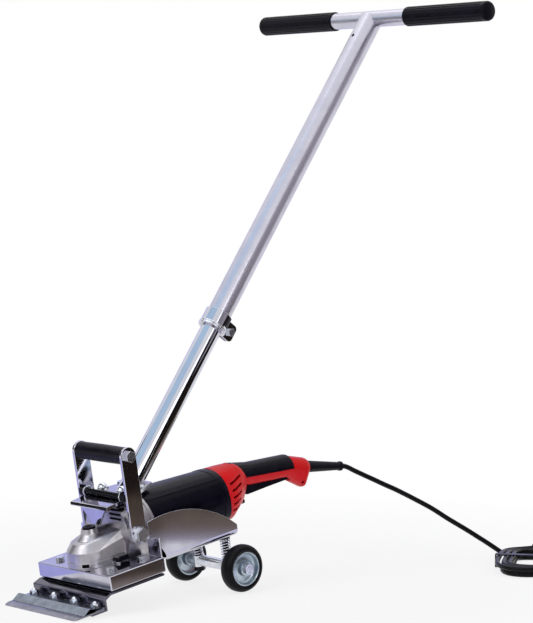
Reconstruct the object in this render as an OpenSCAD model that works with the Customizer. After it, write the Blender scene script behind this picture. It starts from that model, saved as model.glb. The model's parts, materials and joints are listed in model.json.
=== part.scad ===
// Walk-behind power scraper: an angle grinder in a wheeled cradle drives a reciprocating blade.
// Row frame: +Z up, blade towards -Y, T handle along X, origin on the floor under the middle of the object.
// Head frame: x across, y rearward along the housing's top plate, z square to that plate, origin at the
// middle of the plate's front edge.

/* [Stance] */
// Tilt of the head, front edge down, in degrees
head_tilt = 10; // [8:0.5:12]
// Height of the housing's front top edge above the floor
head_h = 49; // [47:0.5:56]
// Lean of the post from the upright, in degrees
post_lean = 35; // [30:0.5:40]

/* [Blade] */
// Width of the blade and its carriage
blade_w = 150; // [130:1:170]
// Length of the blade, front to back
blade_l = 47; // [44:0.5:52]
// Thickness of the blade
blade_t = 2; // [1.5:0.1:2.4]
// Distance from the housing's front edge forward to the blade's edge
blade_reach = 61.7; // [58:0.1:66]
// Length of the ground bevel at the edge
blade_bevel = 8; // [4:0.5:12]
// Spacing of the blade studs
stud_pitch = 42.7; // [36:0.1:46]
// Diameter of the blade studs
stud_d = 6; // [5:0.5:7]

/* [Slide housing] */
// Width of the housing across
housing_w = 151; // [146:0.5:170]
// Length of the housing along the head
housing_l = 89; // [86:0.5:100]
// Height of the housing's skirt
housing_h = 19; // [18:0.5:22]
// Sheet thickness of the housing and cradle
sheet_t = 2.5; // [2:0.1:3]
// Height of the rear upstand ears
upstand_h = 25; // [18:0.5:30]
// Distance of the housing bolts from the housing's sides
bolt_side = 22.5; // [20:0.5:25]
// Spacing of the housing bolts along the head
bolt_dy = 49; // [44:0.5:52]
// Thread diameter of the housing bolts
bolt_d = 6; // [5:0.5:7]

/* [Carriage] */
// Gap between the housing's skirt and the carriage below it
carriage_gap = 1.5; // [1:0.1:3]
// Thickness of the carriage plate
carriage_t = 3; // [2.5:0.1:3.4]
// Reach of the carriage's front wall ahead of the housing
carriage_reach = 12.4; // [10:0.1:16]
// Stroke of the blade to each side of the middle
blade_throw = 2; // [1:0.1:2.5]

/* [Grinder] */
// Distance of the spindle behind the housing's front edge
spindle_y = 34; // [33:0.5:36]
// Height of the motor axis above the housing's top face
motor_h = 31; // [30.5:0.1:32]
// Radius of the gear case nose
nose_r = 28.5; // [28:0.5:30]
// Radius of the gear case body at the motor flange
case_r = 44; // [43:0.5:44.5]
// Position of the motor flange along the head
flange_y = 107; // [106:0.5:110]
// Radius of the motor housing at its rear end
motor_r = 38; // [37:0.1:39]
// Wall of the plastic housings
wall = 3; // [2.5:0.1:3]
// Radius of the rear handle's grip
grip_r = 15.4; // [14.5:0.1:16.5]

/* [Post] */
// Outer diameter of the lower tube
lower_tube_d = 28; // [25:0.5:30]
// Wall of both tubes
tube_wall = 1.9; // [1.2:0.1:2.5]
// Length of the lower tube along its axis
lower_tube_l = 480; // [460:5:560]
// Distance from the post's foot to the lower end of the upper tube
clamp_at = 240; // [200:5:280]
// Distance from the post's foot to the middle of the T bar
tee_at = 753; // [700:1:800]
// Length of the T handle over its grips
tee_w = 448; // [380:2:520]
// Outer diameter of the T bar
tee_d = 23; // [20:0.5:25]
// Diameter of the T grips
tee_grip_d = 27; // [26.5:0.5:32]
// Length of each T grip
tee_grip_l = 152; // [110:1:160]

/* [Front handle] */
// Height of the grip's axis above the housing's top face
grip_h = 133; // [125:1:150]
// Distance of the handle bars ahead of the housing's rear edge
bar_back = 15; // [14.5:0.5:17]
// Width of the handle bars
bar_w = 24; // [22:0.5:25]
// Thickness of the handle bars
bar_t = 4; // [3:0.1:5]
// Diameter of the front grip
front_grip_d = 23; // [20:0.5:28]

/* [Chassis] */
// Distance of the axle behind the housing's rear edge
axle_back = 138; // [133:0.5:141]
// Diameter of the wheels
wheel_d = 63; // [60:0.5:66]
// Width of the tyres
tyre_w = 19; // [16:0.5:21]
// Distance between the middles of the wheels
track = 114; // [113:0.5:124]
// Outer diameter of the axle tube
axle_tube_d = 15; // [14:0.5:17]
// Spacing of the guide bolts
guide_dx = 60; // [56:0.5:62]
// Diameter of the guide bolts
guide_d = 8; // [7:0.5:8.5]
// Wire diameter of the springs
wire_d = 1.6; // [1.2:0.1:1.8]
// Mean radius of the springs
spring_r = 6.5; // [6.2:0.1:7]
// Travel of the suspension
suspension_travel = 10; // [6:0.5:11]

/* [Cord] */
// Diameter of the cord
cord_d = 7; // [6:0.1:7.2]

/* [Hidden] */
$fn = 48;

// Overrun of cuts, radial clearance of fits that stay put, of running fits and of loose guides
over = 1;
seat = 0.05;
run_gap = 0.05;
loose = 0.3;

// Hexagon heads: height and width across flats as shares of the thread
head_h_share = 0.7;
head_af_share = 1.65;
washer_share = 2.1;

// Blade edge on the floor, in the head frame, and the head frame's place behind it
edge_y = -blade_reach;
edge_z = -(head_h - blade_reach * sin(head_tilt)) / cos(head_tilt);
head_y = blade_reach * cos(head_tilt) + edge_z * sin(head_tilt);

// Handle bars and axle along the head
bar_y = housing_l - bar_back;
axle_y = housing_l + axle_back;

// Carriage and clamp plate
flange_lap = 22;
wall_gap = 1;
clamp_t = 2;
clamp_flat_l = 13;
ridge_rise = 4.8;
ridge_run = 10.3;
lip_run = 9.6;
blade_top = edge_z + blade_t;
carriage_bottom = edge_z - carriage_t + wall_gap / 2;
carriage_top = -housing_h - carriage_gap;
front_dip = 4;
dip_run = 11.4;
front_y = -carriage_reach;
clamp_rear_y = front_y - wall_gap;
stud_y = clamp_rear_y - clamp_flat_l / 2;
blade_corner_r = 5;
stud_nut_h = 5;
carriage_rear_inset = 3;

// Guide rails and slide block
rail_w = 20;
rail_side = 8;
rail_up = 0.5;
rail_in = housing_w / 2 - sheet_t - rail_side - rail_w;
rail_h = housing_h - sheet_t - rail_up;
rail_inset = 8;
groove_d = 4;
groove_h = 6;
groove_z = -8;
block_l = 64;
block_top = -6;
spindle_hole_r = 25;

// Gear train: a bevel pair whose cones meet at the crossing of the spindle and motor axes
gear_ratio = 3;
gear_r = 25;
gear_in_r = 14;
gear_base_z = 14;
spindle_r = 6;
spindle_top = 33;
shaft_r = 5;
ecc_r = 13;
ecc_bore_z = -8;
ecc_clear = 1.5;
ecc_low_z = carriage_top + over + ecc_clear;
ecc_hub_r = 10;
ecc_bearing_r = 13;
chamber_r = 26.5;
chamber_wall_h = 23;
chamber_top = 28;
chamber_top_r = 16;

// Gear case
cap_h = 8;
cap_over = 1;
nose_ahead = 4.7;
nose_side_h = 20;
nose_shoulder_h = 30;
nose_inset = 6.5;
nose_top = 45;
nose_top_r = 10.2;
nose_foot_r = 18;
nose_foot_h = 33;
nose_mid_r = 12;
nose_mid_h = 38.5;
neck_y = 62;
neck_w = 68;
neck_low_h = 30;
neck_top_w = 56;
neck_top_h = 39;
rim_t = 5;
rim_over = 0.8;
boss_r = 14;
case_half_w = 47;
louver_n = 4;
louver_h = 3;
louver_pitch = 6;
louver_low = 50;
louver_in = 9;
louver_out = 33;
louver_d = 9;
button_r = 8.5;
button_up = 2.5;
button_l = 9;
button_travel = 2;
notch_w = 9;
notch_h = 4.5;
notch_angle = 40;
bearing_r = 15;
bearing_t = 7;
bearing_z = 1;

// Guard lever
lever_l = 20;
lever_w = 6;
lever_lug_t = 2;
lever_y = 44;
lever_pin_r = 2;

// Motor
slant = 4;
slant_y = 240;
motor_bearing_r = 13;
motor_bearing_t = 8;
front_bearing_y = 66;
rear_bearing_y = 222;
bulkhead_t = 11;
fan_y = 94;
fan_t = 11;
fan_blades = 12;
fan_blade_t = 1.6;
fan_r = 34;
core_y = 130;
core_l = 46;
core_r = 22;
stator_in = 23;
stator_gap = 0.3;
commutator_y = 184;
commutator_l = 16;
commutator_r = 13;
brush_y = 192;
brush_r = 4;
brush_l = 18;
brush_boss_r = 7;
shaft_end_y = 232;

// Rear handle: stations along the head as distance, height and radius, with the cover's dome first
dome_y = 252;
dome_low_y = 262;
dome_low_h = 31;
dome_low_r = 28;
dome_high_y = 270;
dome_high_h = 42;
dome_high_r = 26;
grip_root_y = 266;
grip_root_h = 52.5;
grip_front_y = 303;
grip_front_h = 44;
grip_rear_y = 370;
grip_rear_h = 37;
tail_y = 400;
tail_h = 28;
tail_r = 14;
lobe_y = 397;
lobe_h = 8;
lobe_r = 6.6;
lobe_w_share = 1.6;
grip_w_share = 1.1;
slot_n = 5;
slot_pitch = 8.9;
slot_h = 3.2;
slot_l = 16;
slot_grow = 3;
slot_y = 246;
slot_low = 11;
slot_lean = 10;
overmould_t = 1.3;
overmould_from = 272;
overmould_to = 375;
overmould_low_share = 0.2;
overmould_rear_drop = 2.4;
rib_t = 3;
rib_ys = [316, 344];
switch_l = 36;
switch_y = 312;
switch_w = 20;
switch_h = 14;
switch_z = 44.5;
screw_r = 2;
screw_head_r = 3.6;
screw_head_t = 2.5;
screw_tip = 9;
screw_boss_r = 4.6;
screw_ys = [290, 355, 393];
screw_zs = [38, 44, 10];
screw_xs = [13, 11, 7];

// Trigger and lock button
trigger_w = 17;
trigger_front_y = 294;
trigger_step_y = 332;
trigger_rear_y = 369;
trigger_low = 19;
trigger_step_low = 20;
trigger_rear_low = 20.5;
trigger_top = 32;
trigger_pin_y = 364;
trigger_pin_z = 30;
trigger_pin_r = 2.5;
trigger_pin_l = 26;
trigger_eye_r = 4.5;
trigger_travel = 4.5;
lock_r = 3.5;
lock_z = 10;
lock_y = 276;
lock_l = 16.6;
lock_travel = 2.5;

// Cord boot
boot_y = 398;
boot_h = 29.5;
boot_dip = 14.2;
boot_l = 80;
boot_r = 8.2;
boot_end_r = 5.6;
boot_bead_r = 6.6;
boot_bead_l = 4;

// Saddle plate and post foot
saddle_y = 41;
saddle_h = 71;
saddle_tilt = 4.5;
saddle_w = 76;
saddle_l = 90;
saddle_t = 4;
saddle_side_l = 46;
saddle_rear_w = 34;
saddle_edge_r = 3;
web_t = 3;
web_top_w = 55;
web_low_w = 13;
web_h = 25.5;
web_y = 3;
saddle_bolt_dx = 40;
saddle_bolt_back = 6;
saddle_bolt_y = bar_y - saddle_y + saddle_bolt_back;
saddle_bolt_d = 8;
saddle_bolt_grip = 12;
foot_bolt_dx = 40;
foot_bolt_y = 70;
foot_bolt_d = 6;
foot_bolt_grip = 2;
post_y = 108;
post_foot_z = saddle_h + (post_y - saddle_y) * tan(saddle_tilt) + saddle_t / cos(saddle_tilt);
post_turn = post_lean + head_tilt;

// Clamp on the upper tube
clamp_band = 2.5;
clamp_h = 24;
clamp_ear_t = 3;
clamp_slit = 3;
clamp_ear_l = 17;
clamp_ear_r = 6;
clamp_bolt_d = 6;
upper_tube_in = lower_tube_d / 2 + run_gap;
upper_tube_r = upper_tube_in + tube_wall;
tee_wall = 1.5;
grip_cap = 4;
hang_hole_d = 5;
hang_hole_drop = 40;

// Front handle fasteners
bar_in = case_half_w;
core_d = 14;
grip_bolt_d = 8;
grip_bolt_l = 22;
side_bolt_d = 10;
side_bolt_l = 18;
side_washer_t = 2;
tie_back = 7;
tie_y = bar_y - tie_back;
tie_r = 3.8;
tie_nut_t = bar_in - saddle_w / 2 - loose;
tie_nut_d = 8;

// Cradle
cradle_in = 47.5;
cradle_floor = -13.5;
cradle_tail = 8;
cradle_l = axle_back + cradle_tail;
cradle_bend_r = 9;
arch_r = 163.5;
arch_back = 32;
arch_y = housing_l + arch_back;
arch_z = -118;
nose_cut_back = 19;
nose_cut_y = housing_l + nose_cut_back;
nose_cut_run = 11;
nose_cut_h = 19;

// Wheels, axle and springs
wheel_r = wheel_d / 2;
axle_z = (wheel_r - head_h - axle_y * sin(head_tilt)) / cos(head_tilt);
boss_h = 15;
axle_boss_r = 8;
axle_r = 4;
axle_in = 36;
hub_r = 9;
hub_over = 0.6;
rim_r = 23;
rim_wall = 2.2;
rim_inset = 1.2;
rim_web = 3;
tyre_crown_r = 14;
axle_nut_h = 5.5;
axle_nut_af = 13;
collar_h = 4;
collar_r = 7.6;
guide_nut_h = 6;
guide_head_h = 6;
spring_turns = 9;
curl_rings = 8;
wire_sides = 6;
spring_top = cradle_floor - sheet_t - collar_h;
spring_low = axle_z + boss_h / 2;

// Cord: round points chosen by hand in the row frame, from the boot to the hank on the floor
cord_r = cord_d / 2;
cord_sides = 8;
cord_points = [
    [0, 225, 141.2], [0.5, 231, 140.5], [2, 238, 138], [4, 245.5, 134], [7, 254.5, 129.5], [10.5, 264.5, 124.5],
    [14.5, 274.5, 119.5], [18.5, 284, 114.5], [22.5, 294, 109.5], [27, 304, 104.5], [31.5, 314, 99],
    [36.5, 323.5, 93.5], [41.5, 333.5, 87.5], [46.5, 343.5, 81.5], [52, 353.5, 75], [57.5, 363, 68],
    [63, 373, 60.5], [68.5, 383, 53.5], [74.5, 393, 46.5], [80.5, 402.5, 39.5], [86.5, 412.5, 32],
    [92.5, 422.5, 24.5], [98.5, 432, 17], [103, 438.5, 11.5], [106.5, 444, 7.5], [109.5, 449.5, 5],
    [112, 455, 3.9], [114, 460, 3.7]
];

// Hank: loops drawn in at the waist, spiralling in on the floor and out again on the layer above; angles in
// degrees along the loops, where the spiral turns back in the middle of a run and climbs along that run
hank_loops = 5;
hank_turn = 36.87;
hank_half_l = 62;
hank_half_w = 36;
hank_step = 10;
hank_waist = 20;
hank_start = 70;
hank_back = 900;
hank_climb = 180;
hank_rings = 24;
hank_sides = 6;
hank_layer_share = 1.2;
hank_tail = 28;
tie_band_w = 12;
tie_band_t = 1.2;
plug_l = 38;
plug_w = 36;
plug_h = 22;
plug_neck_r = 6;
plug_neck_l = 18;
plug_pin_r = 2.4;
plug_pin_l = 19;
plug_pin_dx = 19;

// Middle of the object along Y, which the row frame's origin stands under
foot_y = head_y + post_y * cos(head_tilt) - post_foot_z * sin(head_tilt);
foot_h = head_h + post_y * sin(head_tilt) + post_foot_z * cos(head_tilt);
tee_y = foot_y + tee_at * sin(post_lean);
middle_y = (tee_y + tee_grip_d / 2) / 2;

chrome = "silver";
steel = "lightsteelblue";
cast = "gainsboro";
black = "#1c1a24";
red = "#d8262b";

// Places
module on_head() {
    translate([0, head_y - middle_y, head_h]) rotate([head_tilt, 0, 0]) children();
}
module on_spindle() {
    on_head() translate([0, spindle_y, 0]) children();
}
module on_motor() {
    on_head() translate([0, 0, motor_h]) rotate([-90, 0, 0]) children();
}
module on_saddle() {
    on_head() translate([0, saddle_y, saddle_h]) rotate([saddle_tilt, 0, 0]) children();
}
module on_post() {
    on_head() translate([0, post_y, post_foot_z]) rotate([-post_turn, 0, 0]) children();
}
module on_boot() {
    on_head() translate([0, boot_y, boot_h]) rotate([-90 - boot_dip, 0, 0]) children();
}
module both_sides() {
    children();
    mirror([1, 0, 0]) children();
}

// Shapes that repeat
module rod_x(r, from, to) {
    translate([from, 0, 0]) rotate([0, 90, 0]) cylinder(r = r, h = to - from);
}
module hex_head(d) {
    cylinder(d = d * head_af_share / cos(30), h = d * head_h_share, $fn = 6);
}
module hex_bolt(d, l) {
    hex_head(d);
    translate([0, 0, -l]) cylinder(d = d, h = l + d * head_h_share / 2);
}
module ring(r, bore, h) {
    difference() {
        cylinder(r = r, h = h);
        translate([0, 0, -over]) cylinder(r = bore, h = h + 2 * over);
    }
}
module side_plate(t) {
    rotate([90, 0, 90]) translate([0, 0, -t / 2]) linear_extrude(t) children();
}
module ball(y, h, r, w_share) {
    translate([0, y, h]) scale([w_share, 1, 1]) sphere(r = r, $fn = 24);
}
module disc_y(y, h, r) {
    translate([0, y, h]) rotate([-90, 0, 0]) cylinder(r = r, h = over / 2, $fn = 32);
}

// One unbroken tube along a list of points that never runs upright
function unit(v) = v / norm(v);
function heading(p, i) = unit(p[min(i + 1, len(p) - 1)] - p[max(i - 1, 0)]);
function ring_points(p, i, r, n) =
    let (t = heading(p, i), side = unit(cross(t, [0, 0, 1])), up = cross(side, t))
    [for (k = [0:n - 1]) p[i] + r * (cos(360 * k / n) * side + sin(360 * k / n) * up)];
module tube(p, r, n) {
    m = len(p);
    walls = [for (i = [0:m - 2]) for (k = [0:n - 1])
        let (a = i * n + k, b = i * n + (k + 1) % n)
        each [[a, b, b + n], [a, b + n, a + n]]];
    start = [for (k = [1:n - 2]) [0, k + 1, k]];
    end = [for (k = [1:n - 2]) [(m - 1) * n, (m - 1) * n + k, (m - 1) * n + k + 1]];
    polyhedron([for (i = [0:m - 1]) each ring_points(p, i, r, n)], concat(start, walls, end));
}
function path_length(p, i = 0) = i >= len(p) - 1 ? 0 : norm(p[i + 1] - p[i]) + path_length(p, i + 1);
function least_gap(p, skip, d) =
    min([for (i = [0:len(p) - 1]) for (j = [i + skip:len(p) - 1]) norm(p[i] - p[j])]) - d;

// Slide housing and carriage
module bolt_places() {
    x = housing_w / 2 - bolt_side;
    for (s = [-1, 1], y = [-bolt_dy / 2, bolt_dy / 2]) translate([s * x, housing_l / 2 + y, 0]) children();
}
module slide_housing() {
    inner_w = housing_w - 2 * sheet_t;
    color(chrome) on_head() difference() {
        union() {
            translate([-housing_w / 2, 0, -housing_h]) cube([housing_w, housing_l, housing_h]);
            both_sides() translate([case_half_w, housing_l - sheet_t, -sheet_t])
                cube([housing_w / 2 - sheet_t - case_half_w, sheet_t, sheet_t + upstand_h]);
        }
        translate([-inner_w / 2, sheet_t, -housing_h - over])
            cube([inner_w, housing_l - 2 * sheet_t, housing_h - sheet_t + over]);
        translate([0, spindle_y, -housing_h]) cylinder(r = spindle_hole_r, h = housing_h + over);
        bolt_places() translate([0, 0, -housing_h]) cylinder(d = bolt_d + 2 * seat, h = housing_h + over);
    }
}
module housing_bolts() {
    color(steel) on_head() bolt_places() hex_bolt(bolt_d, sheet_t + rail_h - bolt_d / 2);
}
module guide_rails() {
    color("dimgray") on_head() both_sides() difference() {
        translate([rail_in, rail_inset, -sheet_t - rail_h]) cube([rail_w, housing_l - 2 * rail_inset, rail_h]);
        translate([rail_in - over, rail_inset - over, groove_z - groove_h])
            cube([groove_d + over, housing_l - 2 * rail_inset + 2 * over, groove_h]);
        bolt_places() translate([0, 0, -sheet_t - rail_h - over])
            cylinder(d = bolt_d + 2 * seat, h = rail_h + 2 * over);
    }
}
module slide_block() {
    tongue = rail_in + groove_d - loose;
    slot_y_l = 2 * ecc_bearing_r + 4 * blade_throw + 4 * loose;
    slot_x_l = 2 * ecc_bearing_r + 2 * blade_throw + 4 * loose;
    color("slategray") on_head() translate([0, housing_l / 2 - block_l / 2, 0]) difference() {
        union() {
            translate([-(rail_in - loose), 0, carriage_top])
                cube([2 * (rail_in - loose), block_l, block_top - carriage_top]);
            translate([-tongue, 0, groove_z - groove_h + loose])
                cube([2 * tongue, block_l, groove_h - 2 * loose]);
        }
        translate([-slot_x_l / 2, spindle_y - housing_l / 2 + block_l / 2 - slot_y_l / 2, carriage_top + over])
            cube([slot_x_l, slot_y_l, block_top - carriage_top]);
    }
}
module stud_places() {
    for (i = [-1.5:1:1.5]) translate([i * stud_pitch, stud_y, 0]) children();
}
module carriage_plate() {
    wall_z = edge_z - carriage_t;
    color(chrome) on_head() difference() {
        side_plate(blade_w) polygon([
            [front_y, carriage_top - front_dip], [front_y + dip_run, carriage_top],
            [housing_l - carriage_rear_inset, carriage_top],
            [housing_l - carriage_rear_inset, carriage_top - carriage_t],
            [front_y + dip_run, carriage_top - carriage_t],
            [front_y + carriage_t, carriage_top - front_dip - carriage_t], [front_y + carriage_t, carriage_bottom],
            [front_y - flange_lap, carriage_bottom], [front_y - flange_lap, edge_z], [front_y, edge_z]
        ]);
        stud_places() translate([0, 0, wall_z - over]) cylinder(d = stud_d + 2 * seat, h = carriage_t + 2 * over);
    }
}
module blade() {
    rear_y = edge_y + blade_l;
    color("lightslategray") on_head() difference() {
        intersection() {
            side_plate(blade_w) polygon([
                [edge_y, edge_z], [rear_y, edge_z], [rear_y, blade_top], [edge_y + blade_bevel, blade_top]
            ]);
            translate([0, 0, edge_z - over]) linear_extrude(blade_t + 2 * over) union() {
                translate([-blade_w / 2, edge_y + blade_corner_r]) square([blade_w, blade_l]);
                translate([-blade_w / 2 + blade_corner_r, edge_y - over])
                    square([blade_w - 2 * blade_corner_r, blade_l]);
                for (s = [-1, 1]) translate([s * (blade_w / 2 - blade_corner_r), edge_y + blade_corner_r])
                    circle(r = blade_corner_r);
            }
        }
        stud_places() translate([0, 0, edge_z - over]) cylinder(d = stud_d + 2 * seat, h = blade_t + 2 * over);
    }
}
module clamp_plate() {
    valley_y = clamp_rear_y - clamp_flat_l;
    ridge_y = valley_y - ridge_run;
    lip_y = ridge_y - lip_run;
    top = blade_top + clamp_t;
    color(steel) on_head() difference() {
        side_plate(blade_w) polygon([
            [clamp_rear_y, blade_top], [clamp_rear_y, top], [valley_y, top], [ridge_y, top + ridge_rise],
            [lip_y - clamp_t, blade_top], [lip_y + clamp_t / 2, blade_top],
            [ridge_y, top + ridge_rise - clamp_t], [valley_y - clamp_t / 2, blade_top]
        ]);
        stud_places() translate([0, 0, blade_top - over]) cylinder(d = stud_d + 2 * seat, h = clamp_t + 2 * over);
    }
}
module blade_studs() {
    top = blade_top + clamp_t;
    color("silver") on_head() stud_places() union() {
        translate([0, 0, carriage_bottom]) cylinder(d = stud_d, h = top - carriage_bottom + stud_nut_h);
        translate([0, 0, top]) cylinder(d = stud_d * head_af_share / cos(30), h = stud_nut_h, $fn = 6);
        translate([0, 0, top + stud_nut_h]) sphere(d = stud_d);
    }
}

// Gear case and its fittings
module nose_plan(grow) {
    hull() {
        translate([0, spindle_y - nose_ahead]) circle(r = nose_r + grow);
        translate([-neck_w / 2 - grow, neck_y]) square([neck_w + 2 * grow, over]);
    }
}
module nose() {
    hull() {
        translate([0, spindle_y - nose_ahead, cap_h]) cylinder(r = nose_r, h = nose_side_h - cap_h);
        translate([0, spindle_y - nose_ahead, cap_h]) cylinder(r = nose_r - nose_inset, h = nose_shoulder_h - cap_h);
        translate([-neck_w / 2, neck_y, cap_h]) cube([neck_w, over, neck_low_h - cap_h]);
        translate([-neck_top_w / 2, neck_y, cap_h]) cube([neck_top_w, over, neck_top_h - cap_h]);
    }
    translate([0, spindle_y, 0]) rotate_extrude() polygon([
        [0, nose_side_h], [nose_foot_r, nose_side_h], [nose_foot_r, nose_foot_h - over], [nose_mid_r, nose_mid_h],
        [nose_top_r, nose_top], [0, nose_top]
    ]);
    translate([0, spindle_y, motor_h]) rotate([-90, 0, 0])
        cylinder(r = gear_r / gear_ratio + loose + wall, h = neck_y - spindle_y + over);
}
module saddle_seat() {
    on_below = 2 * case_r;
    translate([0, saddle_y, saddle_h]) rotate([saddle_tilt, 0, 0])
        translate([-on_below / 2, -on_below, 0]) cube([on_below, 2 * on_below, on_below]);
}
module louvers() {
    for (i = [0:louver_n - 1]) both_sides()
        translate([louver_in, neck_y - over, louver_low + i * louver_pitch])
            cube([louver_out - louver_in, louver_d, louver_h]);
}
module saddle_bolt_places() {
    for (x = [-saddle_bolt_dx / 2, saddle_bolt_dx / 2]) translate([x, saddle_bolt_y, 0]) children();
}
module gear_case() {
    body_l = flange_y - neck_y;
    color(cast) difference() {
        on_head() difference() {
            union() {
                nose();
                translate([0, neck_y, motor_h]) rotate([-90, 0, 0]) cylinder(r = case_r - rim_over, h = body_l);
                for (y = [neck_y, flange_y - rim_t])
                    translate([0, y, motor_h]) rotate([-90, 0, 0]) cylinder(r = case_r, h = rim_t);
                translate([0, bar_y, motor_h]) rod_x(boss_r, -case_half_w, case_half_w);
            }
            saddle_seat();
            louvers();
            translate([-case_r, neck_y - over, -case_r])
                cube([2 * case_r, housing_l - neck_y + 2 * over, case_r]);
            translate([0, spindle_y, 0]) rotate_extrude() polygon([
                [0, cap_h - over], [chamber_r, cap_h - over], [chamber_r, chamber_wall_h], [chamber_top_r, chamber_top],
                [0, chamber_top]
            ]);
            translate([0, spindle_y, 0]) cylinder(r = spindle_r + loose, h = spindle_top + loose);
            translate([0, spindle_y, nose_top + button_up - button_l - button_travel - loose])
                cylinder(r = button_r + loose, h = button_l + button_travel);
            translate([0, spindle_y, motor_h]) rotate([-90, 0, 0])
                cylinder(r = gear_r / gear_ratio + loose, h = front_bearing_y - spindle_y);
            translate([0, front_bearing_y, motor_h]) rotate([-90, 0, 0])
                cylinder(r = motor_bearing_r + seat, h = motor_bearing_t);
            translate([0, front_bearing_y, motor_h]) rotate([-90, 0, 0])
                cylinder(r = shaft_r + over, h = body_l);
            translate([0, fan_y - 2 * over, motor_h]) rotate([-90, 0, 0])
                cylinder(r = case_r - 2 * wall, h = flange_y - fan_y + 4 * over);
            both_sides() translate([0, bar_y, motor_h])
                rod_x(side_bolt_d / 2 + seat, case_half_w - side_bolt_l, case_half_w + over);
        }
        on_saddle() saddle_bolt_places() translate([0, 0, -saddle_bolt_grip])
            cylinder(d = saddle_bolt_d + 2 * seat, h = saddle_bolt_grip + over);
    }
}
module bearing_cap() {
    r = nose_r + cap_over;
    color(cast) on_spindle() difference() {
        translate([0, -spindle_y, 0]) linear_extrude(cap_h) nose_plan(cap_over);
        translate([0, 0, bearing_z]) cylinder(r = bearing_r + seat, h = cap_h);
        translate([0, 0, -over]) cylinder(r = ecc_hub_r + loose, h = cap_h);
        translate([-2 * r, neck_y - spindle_y - loose, -over]) cube([4 * r, r, cap_h + 2 * over]);
        translate([0, -nose_ahead, 0]) rotate([0, 0, notch_angle])
            translate([-notch_w / 2, -r - over, (cap_h - notch_h) / 2]) cube([notch_w, notch_h, notch_h]);
    }
    color(cast) on_spindle() translate([lever_x(), lever_y - spindle_y, 0]) {
        cylinder(d = lever_w, h = lever_lug_t);
        translate([-2 * lever_w, -lever_w / 2, 0]) cube([2 * lever_w, lever_w, lever_lug_t]);
        cylinder(r = lever_pin_r, h = cap_h);
    }
}
function lever_x() = neck_w / 2 + cap_over + lever_w / 2 + loose;
module guard_lever() {
    reach = lever_l - lever_w;
    color(black) on_head() translate([lever_x(), lever_y, lever_lug_t + loose])
        linear_extrude(cap_h - lever_lug_t - loose) difference() {
            union() {
                circle(d = lever_w);
                translate([-lever_w / 2, 0]) square([lever_w, reach]);
                translate([0, reach]) circle(d = lever_w);
            }
            circle(r = lever_pin_r + run_gap);
        }
}
module spindle_button() {
    color(black) on_spindle() translate([0, 0, nose_top + over + button_up - button_l])
        cylinder(r = button_r, h = button_l - over);
}

// Gear train
module crown_gear() {
    function cone_z(r) = motor_h - r / gear_ratio - loose;
    color("dimgray") on_spindle() rotate_extrude() polygon([
        [spindle_r + seat, gear_base_z], [gear_r, gear_base_z], [gear_r, cone_z(gear_r)],
        [gear_in_r, cone_z(gear_in_r)], [spindle_r + seat, cone_z(gear_in_r)]
    ]);
}
module spindle() {
    color("gray") on_spindle() translate([0, 0, ecc_low_z]) cylinder(r = spindle_r, h = spindle_top - ecc_low_z);
}
module eccentric() {
    color("gray") on_spindle() difference() {
        union() {
            translate([0, 0, ecc_bore_z]) cylinder(r = ecc_hub_r, h = bearing_z - loose - ecc_bore_z);
            translate([0, blade_throw, ecc_low_z]) cylinder(r = ecc_r - wall, h = ecc_bore_z - ecc_low_z);
        }
        translate([0, 0, ecc_low_z - over]) cylinder(r = spindle_r + seat, h = spindle_top);
    }
}
module eccentric_bearing() {
    color("silver") on_spindle() translate([0, blade_throw, ecc_low_z])
        ring(ecc_bearing_r, ecc_r - wall + seat, ecc_bore_z - ecc_low_z);
}
module ball_bearings() {
    color("silver") {
        on_spindle() translate([0, 0, bearing_z]) ring(bearing_r, spindle_r + run_gap, bearing_t);
        on_motor() for (y = [front_bearing_y, rear_bearing_y])
            translate([0, 0, y]) ring(motor_bearing_r, shaft_r + run_gap, motor_bearing_t);
    }
}

// Motor
function motor_r_at(y) = case_r + (motor_r - case_r) * (y - flange_y) / (slant_y - flange_y);
module behind_slant(gap) {
    reach = 4 * case_r;
    translate([0, slant_y, motor_h]) rotate([slant, 0, 0]) translate([-reach / 2, gap, -reach / 2])
        cube([reach, reach, reach]);
}
module motor_housing() {
    end_y = slant_y + case_r;
    color(black) on_head() difference() {
        union() {
            difference() {
                translate([0, 0, motor_h]) rotate([-90, 0, 0]) rotate_extrude() polygon([
                    [0, flange_y], [case_r, flange_y], [motor_r_at(end_y), end_y], [0, end_y]
                ]);
                translate([0, 0, motor_h]) rotate([-90, 0, 0]) rotate_extrude() polygon([
                    [0, flange_y - over], [motor_r_at(flange_y - over) - wall, flange_y - over],
                    [motor_r_at(end_y + over) - wall, end_y + over], [0, end_y + over]
                ]);
            }
            translate([0, rear_bearing_y - wall, motor_h]) rotate([-90, 0, 0])
                cylinder(r = motor_r_at(rear_bearing_y) - wall / 2, h = bulkhead_t);
            both_sides() translate([0, brush_y, motor_h])
                rod_x(brush_boss_r, commutator_r + brush_boss_r, motor_r_at(brush_y) - wall / 2);
        }
        behind_slant(0);
        translate([0, rear_bearing_y, motor_h]) rotate([-90, 0, 0])
            cylinder(r = motor_bearing_r + seat, h = bulkhead_t);
        translate([0, core_y, motor_h]) rotate([-90, 0, 0]) cylinder(r = shaft_r + over, h = slant_y - core_y);
        both_sides() translate([0, brush_y, motor_h])
            rod_x(brush_r + seat, commutator_r, commutator_r + loose + brush_l);
    }
}
module stator() {
    r = motor_r_at(core_y + core_l) - wall - stator_gap;
    color("peru") on_motor() translate([0, 0, core_y]) ring(r, stator_in, core_l);
}
module armature() {
    color("sienna") on_motor() translate([0, 0, core_y]) ring(core_r, shaft_r + seat, core_l);
}
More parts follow.
